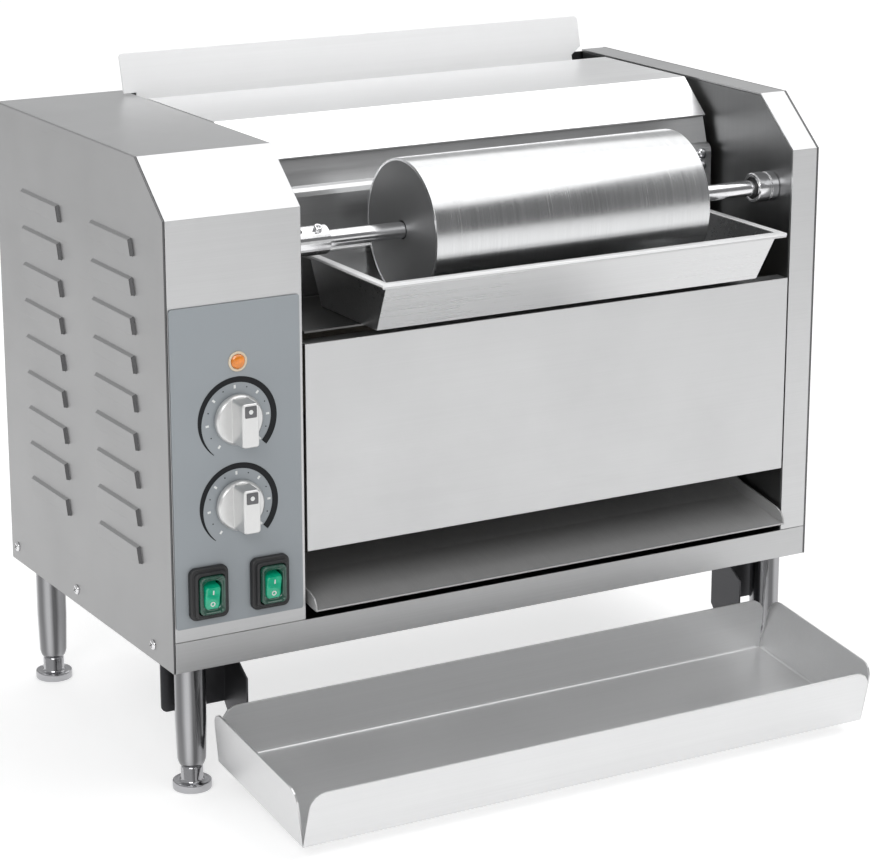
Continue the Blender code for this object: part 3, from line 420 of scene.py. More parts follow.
NODE_LOOKS = {
    "side_steel": ("left_side_panel", "right_side_panel", "rear_panel"),
    "front_steel": ("control_box_cover", "right_tower_cover"),
    "rail_steel": ("base_pan",),
    "panel_steel": ("front_panel",),
    "bright_steel": ("hood",),
    "flap_steel": ("bun_flap",),
    "tray_steel": ("bun_tray",),
    "trough_steel": ("butter_trough",),
    "inner_steel": ("control_box_wall", "right_tower_wall", "heat_shield"),
    "recess_steel": ("recess_wall",),
    "chute_steel": ("discharge_chute",),
    "dark_steel": ("tray_bracket_left", "tray_bracket_right", "drive_chain"),
    "bright_bar": ("butter_motor_shaft", "shaft_coupling"),
    "zinc": ("drive_bearing_left", "drive_bearing_right", "idler_bearing_left",
             "idler_bearing_right", "conveyor_sprocket", "motor_sprocket", "thermostat"),
    "drum_aluminium": ("conveyor_drive_shaft", "conveyor_idler_shaft"),
    "platen_aluminium": ("heated_platen",),
    "motor_paint": ("conveyor_gearmotor", "butter_gearmotor"),
    "black_plastic": ("speed_control", "terminal_block"),
    "control_film": ("control_overlay",),
    "belt_fabric": ("conveyor_belt",),
}


def dress_nodes():
    for look, nodes in NODE_LOOKS.items():
        for node in nodes:
            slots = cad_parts[node].material_slots
            for item in slots:
                item.material = MATERIALS[look]


# ---------------------------------------------------------------- piece helpers

def add_piece(name, bm, material, body, replaced=(), location=(0, 0, 0), angle=35):
    """Turn a bmesh into a piece that rides on a body and takes its finish from a slot."""
    mesh = bpy.data.meshes.new(name)
    bmesh.ops.recalc_face_normals(bm, faces=bm.faces)
    bm.to_mesh(mesh)
    bm.free()
    mesh.shade_smooth()
    mesh.set_sharp_from_angle(angle=math.radians(angle))
    mesh.materials.append(material)
    piece = bpy.data.objects.new(name, mesh)
    piece.location = location
    bpy.context.scene.collection.objects.link(piece)
    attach(piece, body)
    if replaced:
        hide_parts(*replaced)
    return piece


def spin(bm, profile, axis, steps=96):
    """Add a turned shape to a bmesh: (radius, distance along axis) points in order."""
    turn = Vector((0, 0, 1)).rotation_difference(Vector(axis)).to_matrix()
    rows = []
    for radius, along in profile:
        if radius == 0:
            rows.append([bm.verts.new(turn @ Vector((0, 0, along)))])
            continue
        rows.append([])
        for step in range(steps):
            angle = 2 * math.pi * step / steps
            point = Vector((radius * math.cos(angle), radius * math.sin(angle), along))
            rows[-1].append(bm.verts.new(turn @ point))
    for row, following in zip(rows, rows[1:]):
        for step in range(steps):
            corners = []
            for ring, places in ((row, (step, step + 1)), (following, (step + 1, step))):
                for place in places:
                    corner = ring[place % len(ring)]
                    if corner not in corners:
                        corners.append(corner)
            bm.faces.new(corners)
    return rows


def close_profile(bm, rows, steps):
    first, last = rows[0], rows[-1]
    for step in range(steps):
        following = (step + 1) % steps
        bm.faces.new((last[step], last[following], first[following], first[step]))


def turned(name, profile, axis, origin, material, body, replaced=(), steps=96,
           ring=False):
    bm = bmesh.new()
    rows = spin(bm, profile, axis, steps)
    if ring:
        close_profile(bm, rows, steps)
    return add_piece(name, bm, material, body, replaced, origin)


def rounded_outline(width, height, radius, steps=6):
    """Anticlockwise outline of a rectangle with round corners, centred on zero."""
    points = []
    for quarter, (sx, sz) in enumerate(((1, 1), (-1, 1), (-1, -1), (1, -1))):
        middle = Vector((sx * (width / 2 - radius), sz * (height / 2 - radius)))
        for step in range(steps + 1):
            angle = math.pi / 2 * (quarter + step / steps)
            points.append(middle + radius * Vector((math.cos(angle), math.sin(angle))))
    return points


def loft(bm, layers, caps=(True, True)):
    """Stack outlines with equal point counts: layers are (outline, y) pairs, then capped."""
    rows = [[bm.verts.new((u, y, v)) for u, v in outline] for outline, y in layers]
    count = len(rows[0])
    for row, following in zip(rows, rows[1:]):
        for index in range(count):
            after = (index + 1) % count
            bm.faces.new((row[index], row[after], following[after], following[index]))
    if caps[0]:
        bm.faces.new(rows[0])
    if caps[1]:
        bm.faces.new(list(reversed(rows[-1])))
    return rows


# ---------------------------------------------------------------- butter roller line

def roller_line():
    low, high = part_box("butter_roller")
    axis_at = (low + high) / 2
    radius = (high.z - low.z) / 2
    length = high.x - low.x
    lip = 0.35 * MM
    wall = 2.2 * MM
    arc = 5
    edge = [(radius - lip + lip * math.sin(math.pi / 2 * k / arc),
             lip - lip * math.cos(math.pi / 2 * k / arc)) for k in range(arc + 1)]
    profile = [(radius - wall, 4 * MM), (radius - wall, 0), *edge]
    mirrored = [(r, length - along) for r, along in reversed(profile)]
    place = Vector((low.x, axis_at.y, axis_at.z))
    turned("roller_shell", profile + mirrored, (1, 0, 0), place, MATERIALS["roller_steel"],
           "butter_roller_line", ["butter_roller"], 160, ring=True)
    bore = 7.1 * MM
    plate = radius - wall - 0.05 * MM
    for side, start, out in (("left", 0, 1), ("right", length, -1)):
        disc = [(bore, 3 * MM), (bore, 0.4 * MM), (bore + 0.4 * MM, 0.1 * MM),
                (plate, 0.1 * MM), (plate, 3 * MM)]
        turned(f"roller_end_{side}", disc, (out, 0, 0), place + Vector((start, 0, 0)),
               MATERIALS["end_steel"], "butter_roller_line", (), 128, ring=True)
    low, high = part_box("butter_roller_shaft")
    r = (high.z - low.z) / 2
    length = high.x - low.x
    turned("roller_shaft", [(0, 0), (r - 0.6 * MM, 0), (r, 0.6 * MM), (r, length - 0.6 * MM),
                            (r - 0.6 * MM, length), (0, length)], (1, 0, 0),
           Vector((low.x, axis_at.y, axis_at.z)), MATERIALS["bright_bar"],
           "butter_roller_line", ["butter_roller_shaft"], 64)
    clamp_screw(Vector((low.x, axis_at.y, axis_at.z)))
    low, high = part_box("roller_bushing")
    r = (high.z - low.z) / 2
    length = high.x - low.x
    inner = 6.6 * MM
    turned("bushing_body", [(inner, 2 * MM), (8.6 * MM, 2 * MM), (9 * MM, 0.4 * MM),
                            (9.6 * MM, 0), (r - 0.8 * MM, 0), (r, 0.8 * MM),
                            (r, length * 0.55), (r - 0.8 * MM, length * 0.58),
                            (r - 0.8 * MM, length * 0.64), (r, length * 0.67), (r, length),
                            (inner, length)], (1, 0, 0),
           Vector((low.x, axis_at.y, axis_at.z)), MATERIALS["bright_bar"], "cabinet",
           ["roller_bushing"], 64, ring=True)
    turned("bushing_liner", [(6.5 * MM, 0), (8.2 * MM, 0), (8.2 * MM, 1.8 * MM),
                             (6.5 * MM, 1.8 * MM)], (1, 0, 0),
           Vector((low.x + 0.1 * MM, axis_at.y, axis_at.z)), MATERIALS["black_plastic"],
           "cabinet", steps=48, ring=True)


def clamp_screw(shaft_end):
    """Socket cap screw that stands up out of the coupling, near its right end."""
    radial = Vector((0, -0.55, 0.84)).normalized()
    place = Vector((centre("coupling_screw").x, shaft_end.y, shaft_end.z)) + 8.4 * MM * radial
    top, radius, socket = 6 * MM, 3.2 * MM, 1.7 * MM
    profile = [(0, top - 2.2 * MM), (socket, top - 2.2 * MM), (socket, top - 0.2 * MM),
               (socket + 0.2 * MM, top), (radius - 0.5 * MM, top), (radius, top - 0.5 * MM),
               (radius, 0), (0, 0)]
    turned("clamp_screw", profile, radial, place, MATERIALS["bright_bar"],
           "butter_roller_line", ["coupling_screw"], 40)


# ---------------------------------------------------------------- legs and feet

def legs_and_feet():
    for depth in ("front", "rear"):
        for side in ("left", "right"):
            leg = f"leg_{depth}_{side}"
            low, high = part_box(leg)
            middle = (low + high) / 2
            top = high.z
            long = high.z - low.z
            r = (high.x - low.x) / 2
            profile = [(5.4 * MM, 0), (r - 0.6 * MM, 0), (r, 0.8 * MM), (r, 0.55 * long)]
            profile += [(r - 1 * MM * k / 6, (0.55 + 0.38 * k / 6) * long) for k in range(1, 7)]
            profile += [(r - 1.5 * MM, 0.955 * long), (r - 2.4 * MM, 0.985 * long),
                        (r - 3.6 * MM, long), (5.4 * MM, long)]
            turned(f"{leg}_tube", profile, (0, 0, -1), (middle.x, middle.y, top),
                   MATERIALS["leg_tube"], "cabinet", [leg], 72, ring=True)
            foot = f"foot_{depth}_{side}"
            low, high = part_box(foot)
            disc = (high.x - low.x) / 2
            neck = 8.5 * MM
            stem = 5 * MM
            neck_top = LEG_HEIGHT - LEG_REACH
            profile = [(0, 0), (disc - 1.2 * MM, 0), (disc - 0.3 * MM, 0.4 * MM),
                       (disc, 1.2 * MM), (disc, 5.6 * MM), (disc - 0.4 * MM, 6.6 * MM),
                       (disc - 1.2 * MM, 7 * MM), (disc - 2.2 * MM, 6.7 * MM),
                       (neck + 2.4 * MM, 6.3 * MM), (neck + 0.9 * MM, 6.9 * MM),
                       (neck, 8.4 * MM), (neck, neck_top - 1.2 * MM),
                       (neck - 0.8 * MM, neck_top), (stem, neck_top),
                       (stem, high.z - 0.5 * MM), (stem - 0.5 * MM, high.z), (0, high.z)]
            turned(f"{foot}_screw", profile, (0, 0, 1), (middle.x, middle.y, low.z),
                   MATERIALS["foot_chrome"], f"{foot}_body", [foot], 72)


# ---------------------------------------------------------------- controls

OVERLAY_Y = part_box("control_overlay")[0].y


def print_mesh(bm, outline, y, thickness=0.12 * MM):
    """One printed mark: a closed thin plate just proud of the film."""
    front = [bm.verts.new((u, y - thickness, v)) for u, v in outline]
    back = [bm.verts.new((u, y, v)) for u, v in outline]
    bm.faces.new(front)
    bm.faces.new(list(reversed(back)))
    count = len(outline)
    for index in range(count):
        after = (index + 1) % count
        bm.faces.new((front[after], front[index], back[index], back[after]))


def dial_print(node, name):
    """Tapered arc around a knob, with pale ticks and small dark dots between them."""
    middle = centre(node)
    y = OVERLAY_Y - 0.05 * MM
    start, end = math.radians(232), math.radians(-44)
    steps = 72
    outer, inner = [], []
    for step in range(steps + 1):
        share = step / steps
        angle = start + (end - start) * share
        thick = (0.5 + 3.0 * min(1.0, share / 0.25) + 1.5 * share) * MM
        edge = 31.8 * MM
        outer.append((middle.x + edge * math.cos(angle), middle.z + edge * math.sin(angle)))
        inner.append((middle.x + (edge - thick) * math.cos(angle),
                      middle.z + (edge - thick) * math.sin(angle)))
    bm = bmesh.new()
    print_mesh(bm, outer + list(reversed(inner)), y)
    add_piece(f"{name}_arc", bm, INKS["black"], "cabinet")
    ticks = bmesh.new()
    dots = bmesh.new()
    count = 7
    for index in range(2 * count - 1):
        angle = start + (end - start) * index / (2 * count - 2)
        along = Vector((math.cos(angle), math.sin(angle)))
        across = Vector((-along.y, along.x))
        place = Vector((middle.x, middle.z)) + along * 24.4 * MM
        if index % 2:
            shape = [place + 0.5 * MM * Vector((math.cos(a), math.sin(a)))
                     for a in (2 * math.pi * k / 10 for k in range(10))]
            print_mesh(dots, shape, y)
        else:
            long, wide = 1.3 * MM, 0.8 * MM
            shape = [place - along * long - across * wide, place + along * long - across * wide,
                     place + along * long + across * wide, place - along * long + across * wide]
            print_mesh(ticks, shape, y)
    add_piece(f"{name}_ticks", ticks, INKS["white"], "cabinet")
    add_piece(f"{name}_dots", dots, INKS["black"], "cabinet")


INKS = {"black": ink("black_ink", (0.010, 0.011, 0.013)),
        "white": ink("white_ink", (0.72, 0.73, 0.72))}
KNOB_MATERIAL = silvered_plastic("knob_silver", (0.70, 0.70, 0.695), 0.30, 0.72)
INSERT_MATERIAL = plastic("knob_insert", (0.12, 0.12, 0.125), 0.35)


def knob(node, name, body):
    """Knob with a thin skirt, a tall grip bar across it and a square pointer insert."""
    low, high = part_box(node)
    radius = (high.x - low.x) / 2
    middle = (low + high) / 2
    base_y = OVERLAY_Y - 0.6 * MM
    bm = bmesh.new()
    skirt = 5 * MM
    profile = [(0, -11 * MM), (4 * MM, -11 * MM), (4 * MM, 0), (radius - 0.8 * MM, 0),
               (radius, 0.8 * MM), (radius, skirt - 2 * MM), (radius - 0.5 * MM, skirt - 1 * MM),
               (radius - 1.6 * MM, skirt), (0, skirt + 0.3 * MM)]
    spin(bm, profile, (0, -1, 0))
    top = base_y - low.y
    half_low, half_top = 7.0 * MM, 6.4 * MM
    reach = radius - 2.2 * MM
    outline_low = rounded_outline(2 * half_low, 2 * reach, 2.2 * MM, 5)
    outline_mid = rounded_outline(2 * half_top + 0.5 * MM, 2 * reach - 0.6 * MM, 2.2 * MM, 5)
    outline_top = rounded_outline(2 * half_top - 0.8 * MM, 2 * reach - 2.0 * MM, 2.0 * MM, 5)
    loft(bm, [(outline_low, -skirt + 1 * MM), (outline_mid, -top + 1.0 * MM),
              (outline_top, -top)])
    add_piece(f"{name}_knob_body", bm, KNOB_MATERIAL, body, [node],
              (middle.x, base_y, middle.z), 30)
    insert = bmesh.new()
    size = 9.4 * MM
    flat = rounded_outline(size, size - 0.6 * MM, 1.0 * MM, 4)
    inner = rounded_outline(size - 0.6 * MM, size - 1.2 * MM, 0.8 * MM, 4)
    loft(insert, [(flat, 0.1 * MM), (flat, -0.15 * MM), (inner, -0.3 * MM)])
    place = (middle.x, low.y, middle.z + reach - size / 2 - 1.6 * MM)
    add_piece(f"{name}_knob_insert", insert, INSERT_MATERIAL, body, (), place)
    dot = bmesh.new()
    spin(dot, [(0, 0), (1.7 * MM, 0), (1.7 * MM, 0.15 * MM), (0, 0.2 * MM)], (0, -1, 0), 32)
    add_piece(f"{name}_knob_dot", dot, INKS["white"], body, (),
              (place[0], place[1] - 0.3 * MM, place[2]))


def pilot_lamp():
    """Faceted amber lens in a pale ring."""
    low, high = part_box("pilot_lamp")
    middle = (low + high) / 2
    radius = (high.x - low.x) / 2
    face = OVERLAY_Y - 0.1 * MM
    rim = radius + 0.9 * MM
    turned("lamp_ring", [(radius - 1.1 * MM, 0), (rim, 0), (rim, 0.5 * MM),
                         (rim - 0.5 * MM, 0.9 * MM), (radius - 0.7 * MM, 0.9 * MM),
                         (radius - 1.1 * MM, 0.5 * MM)], (0, -1, 0),
           (middle.x, face, middle.z), plastic("lamp_ring", (0.66, 0.56, 0.42), 0.3),
           "cabinet", steps=64, ring=True)
    lens = radius - 1.2 * MM
    profile = [(0, -13 * MM), (4.6 * MM, -13 * MM), (4.6 * MM, 0), (lens, 0.1 * MM),
               (lens, 1.0 * MM), (0.8 * lens, 2.0 * MM), (0.42 * lens, 2.6 * MM),
               (0, 2.75 * MM)]
    bm = bmesh.new()
    spin(bm, profile, (0, -1, 0), 12)
    add_piece("lamp_lens", bm, clear_plastic("amber_lens", (0.80, 0.24, 0.02), 0.12, 0.20),
              "cabinet", ["pilot_lamp"], (middle.x, face, middle.z), 12)


BOOT_MATERIAL = clear_plastic("green_boot", (0.015, 0.085, 0.055), 0.16, 0.0)
# The rocker's emission is a painted glow: the switch is drawn switched off, with no lamp lit in
# it.
ROCKER_MATERIAL = clear_plastic("green_rocker", (0.004, 0.44, 0.24), 0.14, 0.16)
SWITCH_BACK = OVERLAY_Y - 0.3 * MM
ROCKER_AXIS = FRONT_Y + 0.5 * MM
ROCKER_TILT = math.radians(10)
ROCKER_FRONT = 11.2 * MM


def close_loft(bm, rows):
    """Join the last outline of an open loft back to its first one."""
    count = len(rows[0])
    for index in range(count):
        after = (index + 1) % count
        bm.faces.new((rows[-1][index], rows[-1][after], rows[0][after], rows[0][index]))


def scaled_layers(steps):
    """Loft layers from (width, height, corner, y) steps, all in millimetres."""
    return [(rounded_outline(w * MM, h * MM, r * MM), y * MM) for w, h, r, y in steps]


def rocker_switch(name):
    """Black housing with a raised rim, a dark clear boot in it and a bright rocker inside."""
    housing = f"{name}_switch_housing"
    middle = centre(housing)
    place = (middle.x, SWITCH_BACK, middle.z)
    bezel = bmesh.new()
    steps = [(26.6, 35.6, 1.5, 31), (26.6, 35.6, 1.5, 0), (31, 40, 5, 0), (31, 40, 5, -2.4),
             (30.6, 39.6, 4.8, -3.3), (29.6, 38.6, 4.3, -3.9), (28.4, 37.4, 3.8, -4.1),
             (26.6, 35.4, 3.6, -4.1), (26, 34.8, 3.4, -4.4), (25.6, 34.4, 3.2, -6.6),
             (25, 33.8, 3.0, -7.2), (24, 32.8, 2.8, -7.5), (21.6, 30.2, 3.2, -7.5),
             (21, 29.8, 3.0, -6.8), (21, 29.8, 3.0, 10)]
    loft(bezel, scaled_layers(steps))
    add_piece(f"{name}_bezel", bezel, MATERIALS["black_plastic"], "cabinet",
              [housing], place)
    boot = bmesh.new()
    steps = [(20.6, 29.4, 3.6, -3), (20.4, 29.2, 3.6, -8.8), (20, 28.8, 3.5, -9.6),
             (19.2, 28, 3.4, -10.1), (18, 26.8, 3.4, -10.2), (17.2, 26, 3.4, -9.9),
             (16.6, 25.2, 3.6, -9.3), (14.6, 22.8, 4.2, -8.9), (13.8, 21.8, 4.4, -8.2),
             (13.6, 21.6, 4.4, -3)]
    close_loft(boot, loft(boot, scaled_layers(steps), (False, False)))
    add_piece(f"{name}_boot", boot, BOOT_MATERIAL, "cabinet", location=place)
    rocker_cap(name, middle)


def rocker_front(share):
    """Distance from the pin to the rocker's dished front, from middle (0) to end (1)."""
    return ROCKER_FRONT + 0.8 * MM * abs(share) ** 1.6


def rocker_cap(name, middle):
    """Rocker with a dished front and rounded sides, tilted as it is when switched off."""
    half_w, half_h = 6.2 * MM, 8.7 * MM
    steps = 16
    across = ((-1, 1.5), (-0.96, 0.7), (-0.86, 0.2), (-0.7, 0.0), (0.7, 0.0), (0.86, 0.2),
              (0.96, 0.7), (1, 1.5))
    bm = bmesh.new()
    grid, rear = [], []
    for index in range(steps + 1):
        share = 2 * index / steps - 1
        narrow = 1 - 0.16 * max(0.0, abs(share) - 0.75) / 0.25
        z = half_h * share
        grid.append([bm.verts.new((half_w * narrow * x, drop * MM - rocker_front(share), z))
                     for x, drop in across])
        rear.append([bm.verts.new((half_w * narrow * x, 1 * MM, z)) for x in (-1, 1)])
    for row, following in zip(grid, grid[1:]):
        for near in range(len(across) - 1):
            bm.faces.new((row[near], row[near + 1], following[near + 1], following[near]))
    for index in range(steps):
        bm.faces.new((rear[index][0], rear[index][1], rear[index + 1][1], rear[index + 1][0]))
        bm.faces.new((grid[index][0], rear[index][0], rear[index + 1][0], grid[index + 1][0]))
        bm.faces.new((grid[index][-1], grid[index + 1][-1], rear[index + 1][1], rear[index][1]))
    for line, ends in ((grid[0], rear[0]), (grid[-1], rear[-1])):
        bm.faces.new([*line, ends[1], ends[0]])
    bmesh.ops.rotate(bm, verts=bm.verts, matrix=Matrix.Rotation(ROCKER_TILT, 3, "X"))
    add_piece(f"{name}_rocker_cap", bm, ROCKER_MATERIAL, f"{name}_rocker_body",
              [f"{name}_rocker"], (middle.x, ROCKER_AXIS, middle.z), 40)


def switch_marks(name):
    """The usual I and O marks on a rocker, one at each end."""
    middle = centre(f"{name}_switch_housing")
    bm = bmesh.new()
    wide, long = 0.45 * MM, 1.7 * MM
    top, bottom = 4.6 * MM, -5.0 * MM
    front = -rocker_front(0.6) + 0.1 * MM
    line = [(-wide, top - long), (wide, top - long), (wide, top + long), (-wide, top + long)]
    print_mesh(bm, line, front, 0.45 * MM)
    outer, inner = 1.9 * MM, 1.15 * MM
    steps = 28
    rings = []
    for radius in (outer, inner):
        for y in (front - 0.45 * MM, front):
            rings.append([bm.verts.new((radius * math.cos(2 * math.pi * k / steps), y,
                                        bottom + radius * math.sin(2 * math.pi * k / steps)))
                          for k in range(steps)])
    for first, second in ((0, 1), (1, 3), (3, 2), (2, 0)):
        for k in range(steps):
            after = (k + 1) % steps
            bm.faces.new((rings[first][k], rings[first][after], rings[second][after],
                          rings[second][k]))
    bmesh.ops.rotate(bm, verts=bm.verts, matrix=Matrix.Rotation(ROCKER_TILT, 3, "X"))
    add_piece(f"{name}_rocker_marks", bm, INKS["white"], f"{name}_rocker_body",
              (), (middle.x, ROCKER_AXIS, middle.z))


# ---------------------------------------------------------------- folded edges of the sheets

def trough_bead():
    """Rounded hem that runs all round the rim of the butter trough."""
    low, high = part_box("butter_trough")
    section = [(-3.3, -1.8), (-3.4, -0.4), (-3.1, 0.1), (-2.6, 0.3), (2.6, 0.3), (3.1, 0.1),
               (3.4, -0.4), (3.3, -1.8)]
    rim = 3.1 * MM
    bm = bmesh.new()
    rows = []
    for sx, sy in ((-1, -1), (1, -1), (1, 1), (-1, 1)):
        x = (low.x + rim) if sx < 0 else (high.x - rim)
        y = (low.y + rim) if sy < 0 else (high.y - rim)
        rows.append([bm.verts.new((x + sx * a * MM, y + sy * a * MM, high.z + h * MM))
                     for a, h in section])
    count = len(section)
    for corner in range(4):
        row, following = rows[corner], rows[(corner + 1) % 4]
        for index in range(count):
            after = (index + 1) % count
            bm.faces.new((row[index], row[after], following[after], following[index]))
    # the hem's brighter steel is a painted highlight
    add_piece("trough_rim_hem", bm, MATERIALS["hem_highlight_steel"], "cabinet", angle=50)


# The tray's tilt and size, and its rear lower edge from the middle of the body's lower front edge
TRAY_TILT = math.radians(7)
TRAY_HALF = 247 * MM
TRAY_DEEP = 138 * MM
TRAY_MIDDLE_X = -6 * MM
TRAY_REAR_Y = -3 * MM
TRAY_REAR_Z = -74 * MM
SHEET = 1.5 * MM


def tray_bends():
    """The small inside radius where the tray's floor turns up into each wall."""
    radius = 1.8 * MM
    arc = 6
    section = [(-0.9 * MM, -0.5 * MM), (radius, -0.5 * MM)]
    section += [(radius - radius * math.sin(math.pi / 2 * k / arc),
                 radius - radius * math.cos(math.pi / 2 * k / arc)) for k in range(arc + 1)]
    section += [(-0.9 * MM, radius)]
    short = 3 * MM
    left, right = -TRAY_HALF + SHEET, TRAY_HALF - SHEET
    front, rear = -TRAY_DEEP + SHEET, -SHEET
    runs = {"rear": ((left + short, rear), (right - short, rear), (0, -1)),
            "front": ((left + short, front), (right - short, front), (0, 1)),
            "left": ((left, front + short), (left, rear - short), (1, 0)),
            "right": ((right, front + short), (right, rear - short), (-1, 0))}
    turn = Matrix.Rotation(TRAY_TILT, 3, "X")
    place = (LEFT_X + BODY_WIDTH / 2 + TRAY_MIDDLE_X, FRONT_Y + TRAY_REAR_Y,
             BASE_Z + TRAY_REAR_Z)
    for name, (start, end, inward) in runs.items():
        bm = bmesh.new()
        rows = [[bm.verts.new((x + inward[0] * a, y + inward[1] * a, SHEET + h))
                 for a, h in section] for x, y in (start, end)]
        for index in range(len(section)):
            after = (index + 1) % len(section)
            bm.faces.new((rows[0][index], rows[0][after], rows[1][after], rows[1][index]))
        bm.faces.new(rows[0])
        bm.faces.new(list(reversed(rows[1])))
        bmesh.ops.rotate(bm, verts=bm.verts, matrix=turn)
        add_piece(f"tray_bend_{name}", bm, MATERIALS["tray_steel"], "bun_tray_body",
                  (), place, 50)


# ---------------------------------------------------------------- screws and bolts

def pan_screw(name, place, axis, replaced=()):
    """Pan-head screw with a crossed recess drawn as a black cross that is painted shade; place is
    the underside of its head.
    """
    turn = Vector((0, 0, 1)).rotation_difference(Vector(axis)).to_matrix()
    radius = 4 * MM
    stem = 5 * MM
    height = 0.46 * radius
    profile = [(0, -stem), (0.42 * radius, -stem), (0.42 * radius, 0), (radius, 0)]
    arc = 7
    profile += [(radius * math.cos(math.pi / 2 * k / arc) ** 0.7,
                 height * math.sin(math.pi / 2 * k / arc)) for k in range(1, arc)]
    profile += [(0, height)]
    bm = bmesh.new()
    spin(bm, profile, (0, 0, 1), 40)
    bmesh.ops.rotate(bm, verts=bm.verts, matrix=turn)
    add_piece(name, bm, MATERIALS["bright_bar"], "cabinet", replaced, place, 50)
    # painted shade: a black cross piece stands where the recess would be dark
    recess_shade_mesh = bmesh.new()
    arm, thick = 0.5 * radius, 0.11 * radius
    corners = [(thick, thick), (thick, arm), (-thick, arm), (-thick, thick), (-arm, thick),
               (-arm, -thick), (-thick, -thick), (-thick, -arm), (thick, -arm),
               (thick, -thick), (arm, -thick), (arm, thick)]
    front = [recess_shade_mesh.verts.new((x, y, height + 0.02 * radius)) for x, y in corners]
    back = [recess_shade_mesh.verts.new((0.4 * x, 0.4 * y, 0.5 * height)) for x, y in corners]
    recess_shade_mesh.faces.new(front)
    recess_shade_mesh.faces.new(list(reversed(back)))
    for index in range(12):
        after = (index + 1) % 12
        recess_shade_mesh.faces.new((front[after], front[index], back[index], back[after]))
    bmesh.ops.rotate(recess_shade_mesh, verts=recess_shade_mesh.verts, matrix=turn @ Matrix.Rotation(0.5, 3, "Z"))
    add_piece(f"{name}_recess", recess_shade_mesh, MATERIALS["black_plastic"], "cabinet", (), place,
              30)


def side_screws():
    for index in (1, 2, 3):
        node = f"panel_screw_{index}"
        low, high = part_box(node)
        middle = (low + high) / 2
        pan_screw(f"side_screw_{index}", (LEFT_X - SKIN, middle.y, middle.z), (-1, 0, 0),
                  [node])
        pan_screw(f"right_screw_{index}", (RIGHT_X - SUNK, middle.y, middle.z), (1, 0, 0))


def recess_bolts():
    """Two dome bolts near the right end of the wall behind the roller."""
    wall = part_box("recess_wall")
    x = wall[1].x - 10 * MM
    y = FRONT_Y + RECESS_DEPTH
    for index, height in enumerate((321, 311), 1):
        z = BASE_Z + height * MM
        radius = 4.5 * MM
        profile = [(0, -1 * MM), (3 * MM, -1 * MM), (3 * MM, 0), (radius, 0), (radius, 1 * MM)]
        profile += [(radius * math.cos(math.pi / 2 * k / 8),
                     1 * MM + 2.6 * MM * math.sin(math.pi / 2 * k / 8)) for k in range(1, 8)]
        profile += [(0, 3.6 * MM)]
        turned(f"recess_bolt_{index}", profile, (0, -1, 0), (x, y, z), MATERIALS["chrome"],
               "cabinet", steps=48)


def gland():
    low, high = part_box("cord_gland")
    middle = (low + high) / 2
    r = (high.x - low.x) / 2
    back = REAR_Y
    reach = high.y - back
    bm = bmesh.new()
    profile = [(4.6 * MM, -9 * MM), (7.8 * MM, -9 * MM), (7.8 * MM, 0.4 * MM),
               (r, 0.4 * MM), (r, 4 * MM), (r - 1.2 * MM, 5.0 * MM), (r - 1.4 * MM, 5.5 * MM),
               (r - 1.4 * MM, reach - 3.5 * MM), (r - 2.4 * MM, reach - 1.6 * MM),
               (r - 4 * MM, reach), (4.6 * MM, reach)]
    rows = spin(bm, profile, (0, 1, 0), 72)
    close_profile(bm, rows, 72)
    add_piece("gland_nut", bm, MATERIALS["black_plastic"], "cabinet",
              ["cord_gland"], (middle.x, back, middle.z))


# ---------------------------------------------------------------- floor, light, camera

def studio_floor():
    bm = bmesh.new()
    size = 14.0
    bmesh.ops.create_grid(bm, x_segments=4, y_segments=4, size=size)
    mesh = bpy.data.meshes.new("floor")
    bm.to_mesh(mesh)
    bm.free()
    shader = Shader("floor_paper", (0.68, 0.68, 0.68), 0.75, Emission_Strength=0.53)
    fibre = shader.noise(340.0, 3.0, 0.6)
    tone = shader.mix(shader.span(fibre, 0.3, 0.7), (0.67, 0.67, 0.67, 1),
                      (0.69, 0.69, 0.69, 1))
    mesh.materials.append(shader.finish(tone))
    floor = bpy.data.objects.new("floor", mesh)
    bpy.context.scene.collection.objects.link(floor)


def soft_light(name, place, aim, size, power):
    data = bpy.data.lights.new(name, "AREA")
    data.shape = "RECTANGLE"
    data.size, data.size_y = size
    data.energy = power
    light = bpy.data.objects.new(name, data)
    light.location = place
    direction = Vector(aim) - Vector(place)
    light.rotation_euler = direction.to_track_quat("-Z", "Y").to_euler()
    bpy.context.scene.collection.objects.link(light)


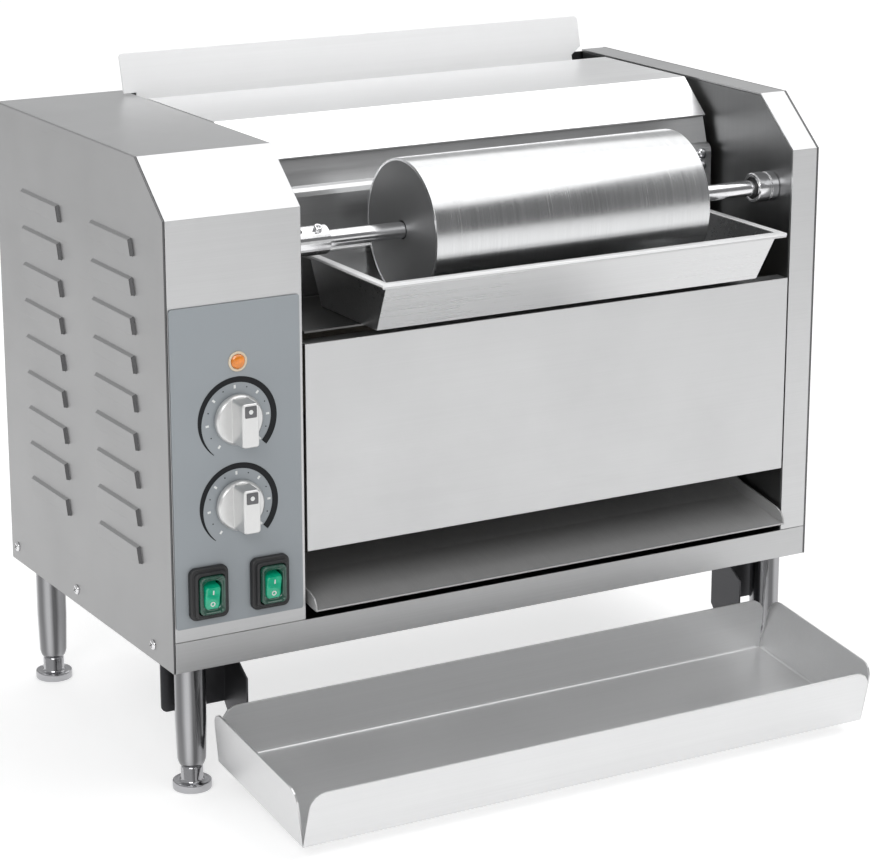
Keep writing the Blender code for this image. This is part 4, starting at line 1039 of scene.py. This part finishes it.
def studio_light():
    world = bpy.data.worlds.new("studio")
    bpy.context.scene.world = world
    world.use_nodes = True
    tree = world.node_tree
    background = tree.nodes["Background"]
    background.inputs["Strength"].default_value = 0.52
    towards = tree.nodes.new("ShaderNodeVectorMath")
    towards.operation = "DOT_PRODUCT"
    towards.inputs[1].default_value = Vector((0.25, -0.90, 0.36)).normalized()
    sky = tree.nodes.new("ShaderNodeTexCoord")
    tree.links.new(sky.outputs["Generated"], towards.inputs[0])
    ramp = tree.nodes.new("ShaderNodeValToRGB")
    ramp.color_ramp.elements[0].position = 0.70
    ramp.color_ramp.elements[0].color = (0.95, 0.955, 0.96, 1)
    ramp.color_ramp.elements[1].position = 0.93
    ramp.color_ramp.elements[1].color = (0.36, 0.36, 0.365, 1)
    tree.links.new(towards.outputs["Value"], ramp.inputs["Fac"])
    tree.links.new(ramp.outputs["Color"], background.inputs["Color"])
    soft_light("overhead", (1.0, -0.5, 2.6), (0.2, 0, 0.2), (3.2, 2.2), 34)
    soft_light("front_left", (-1.9, -2.3, 2.2), (0, 0, 0.3), (1.8, 1.4), 36)
    soft_light("background", (1.4, 2.6, 3.0), (1.6, 3.4, 0), (4.0, 3.0), 40)


def camera():
    data = bpy.data.cameras.new("camera")
    data.sensor_width = 36
    data.lens = CAMERA_LENS
    data.clip_end = 60
    view = bpy.data.objects.new("camera", data)
    view.location = Vector((LEFT_X, FRONT_Y, BASE_Z)) + CAMERA_OFFSET
    view.rotation_euler = (math.pi / 2 - CAMERA_ELEVATION, 0, -CAMERA_AZIMUTH)
    bpy.context.scene.collection.objects.link(view)
    bpy.context.scene.camera = view


def main():
    camera()
    studio_floor()
    studio_light()
    bpy.context.scene.view_settings.view_transform = "Standard"
    dress_nodes()
    roller_line()
    legs_and_feet()
    for node, name, body in (("heat_knob", "heat", "heat_dial"),
                             ("speed_knob", "speed", "speed_dial")):
        dial_print(node, name)
        knob(node, name, body)
    pilot_lamp()
    for name in ("power", "roller"):
        rocker_switch(name)
        switch_marks(name)
    trough_bead()
    tray_bends()
    side_screws()
    recess_bolts()
    gland()


main()
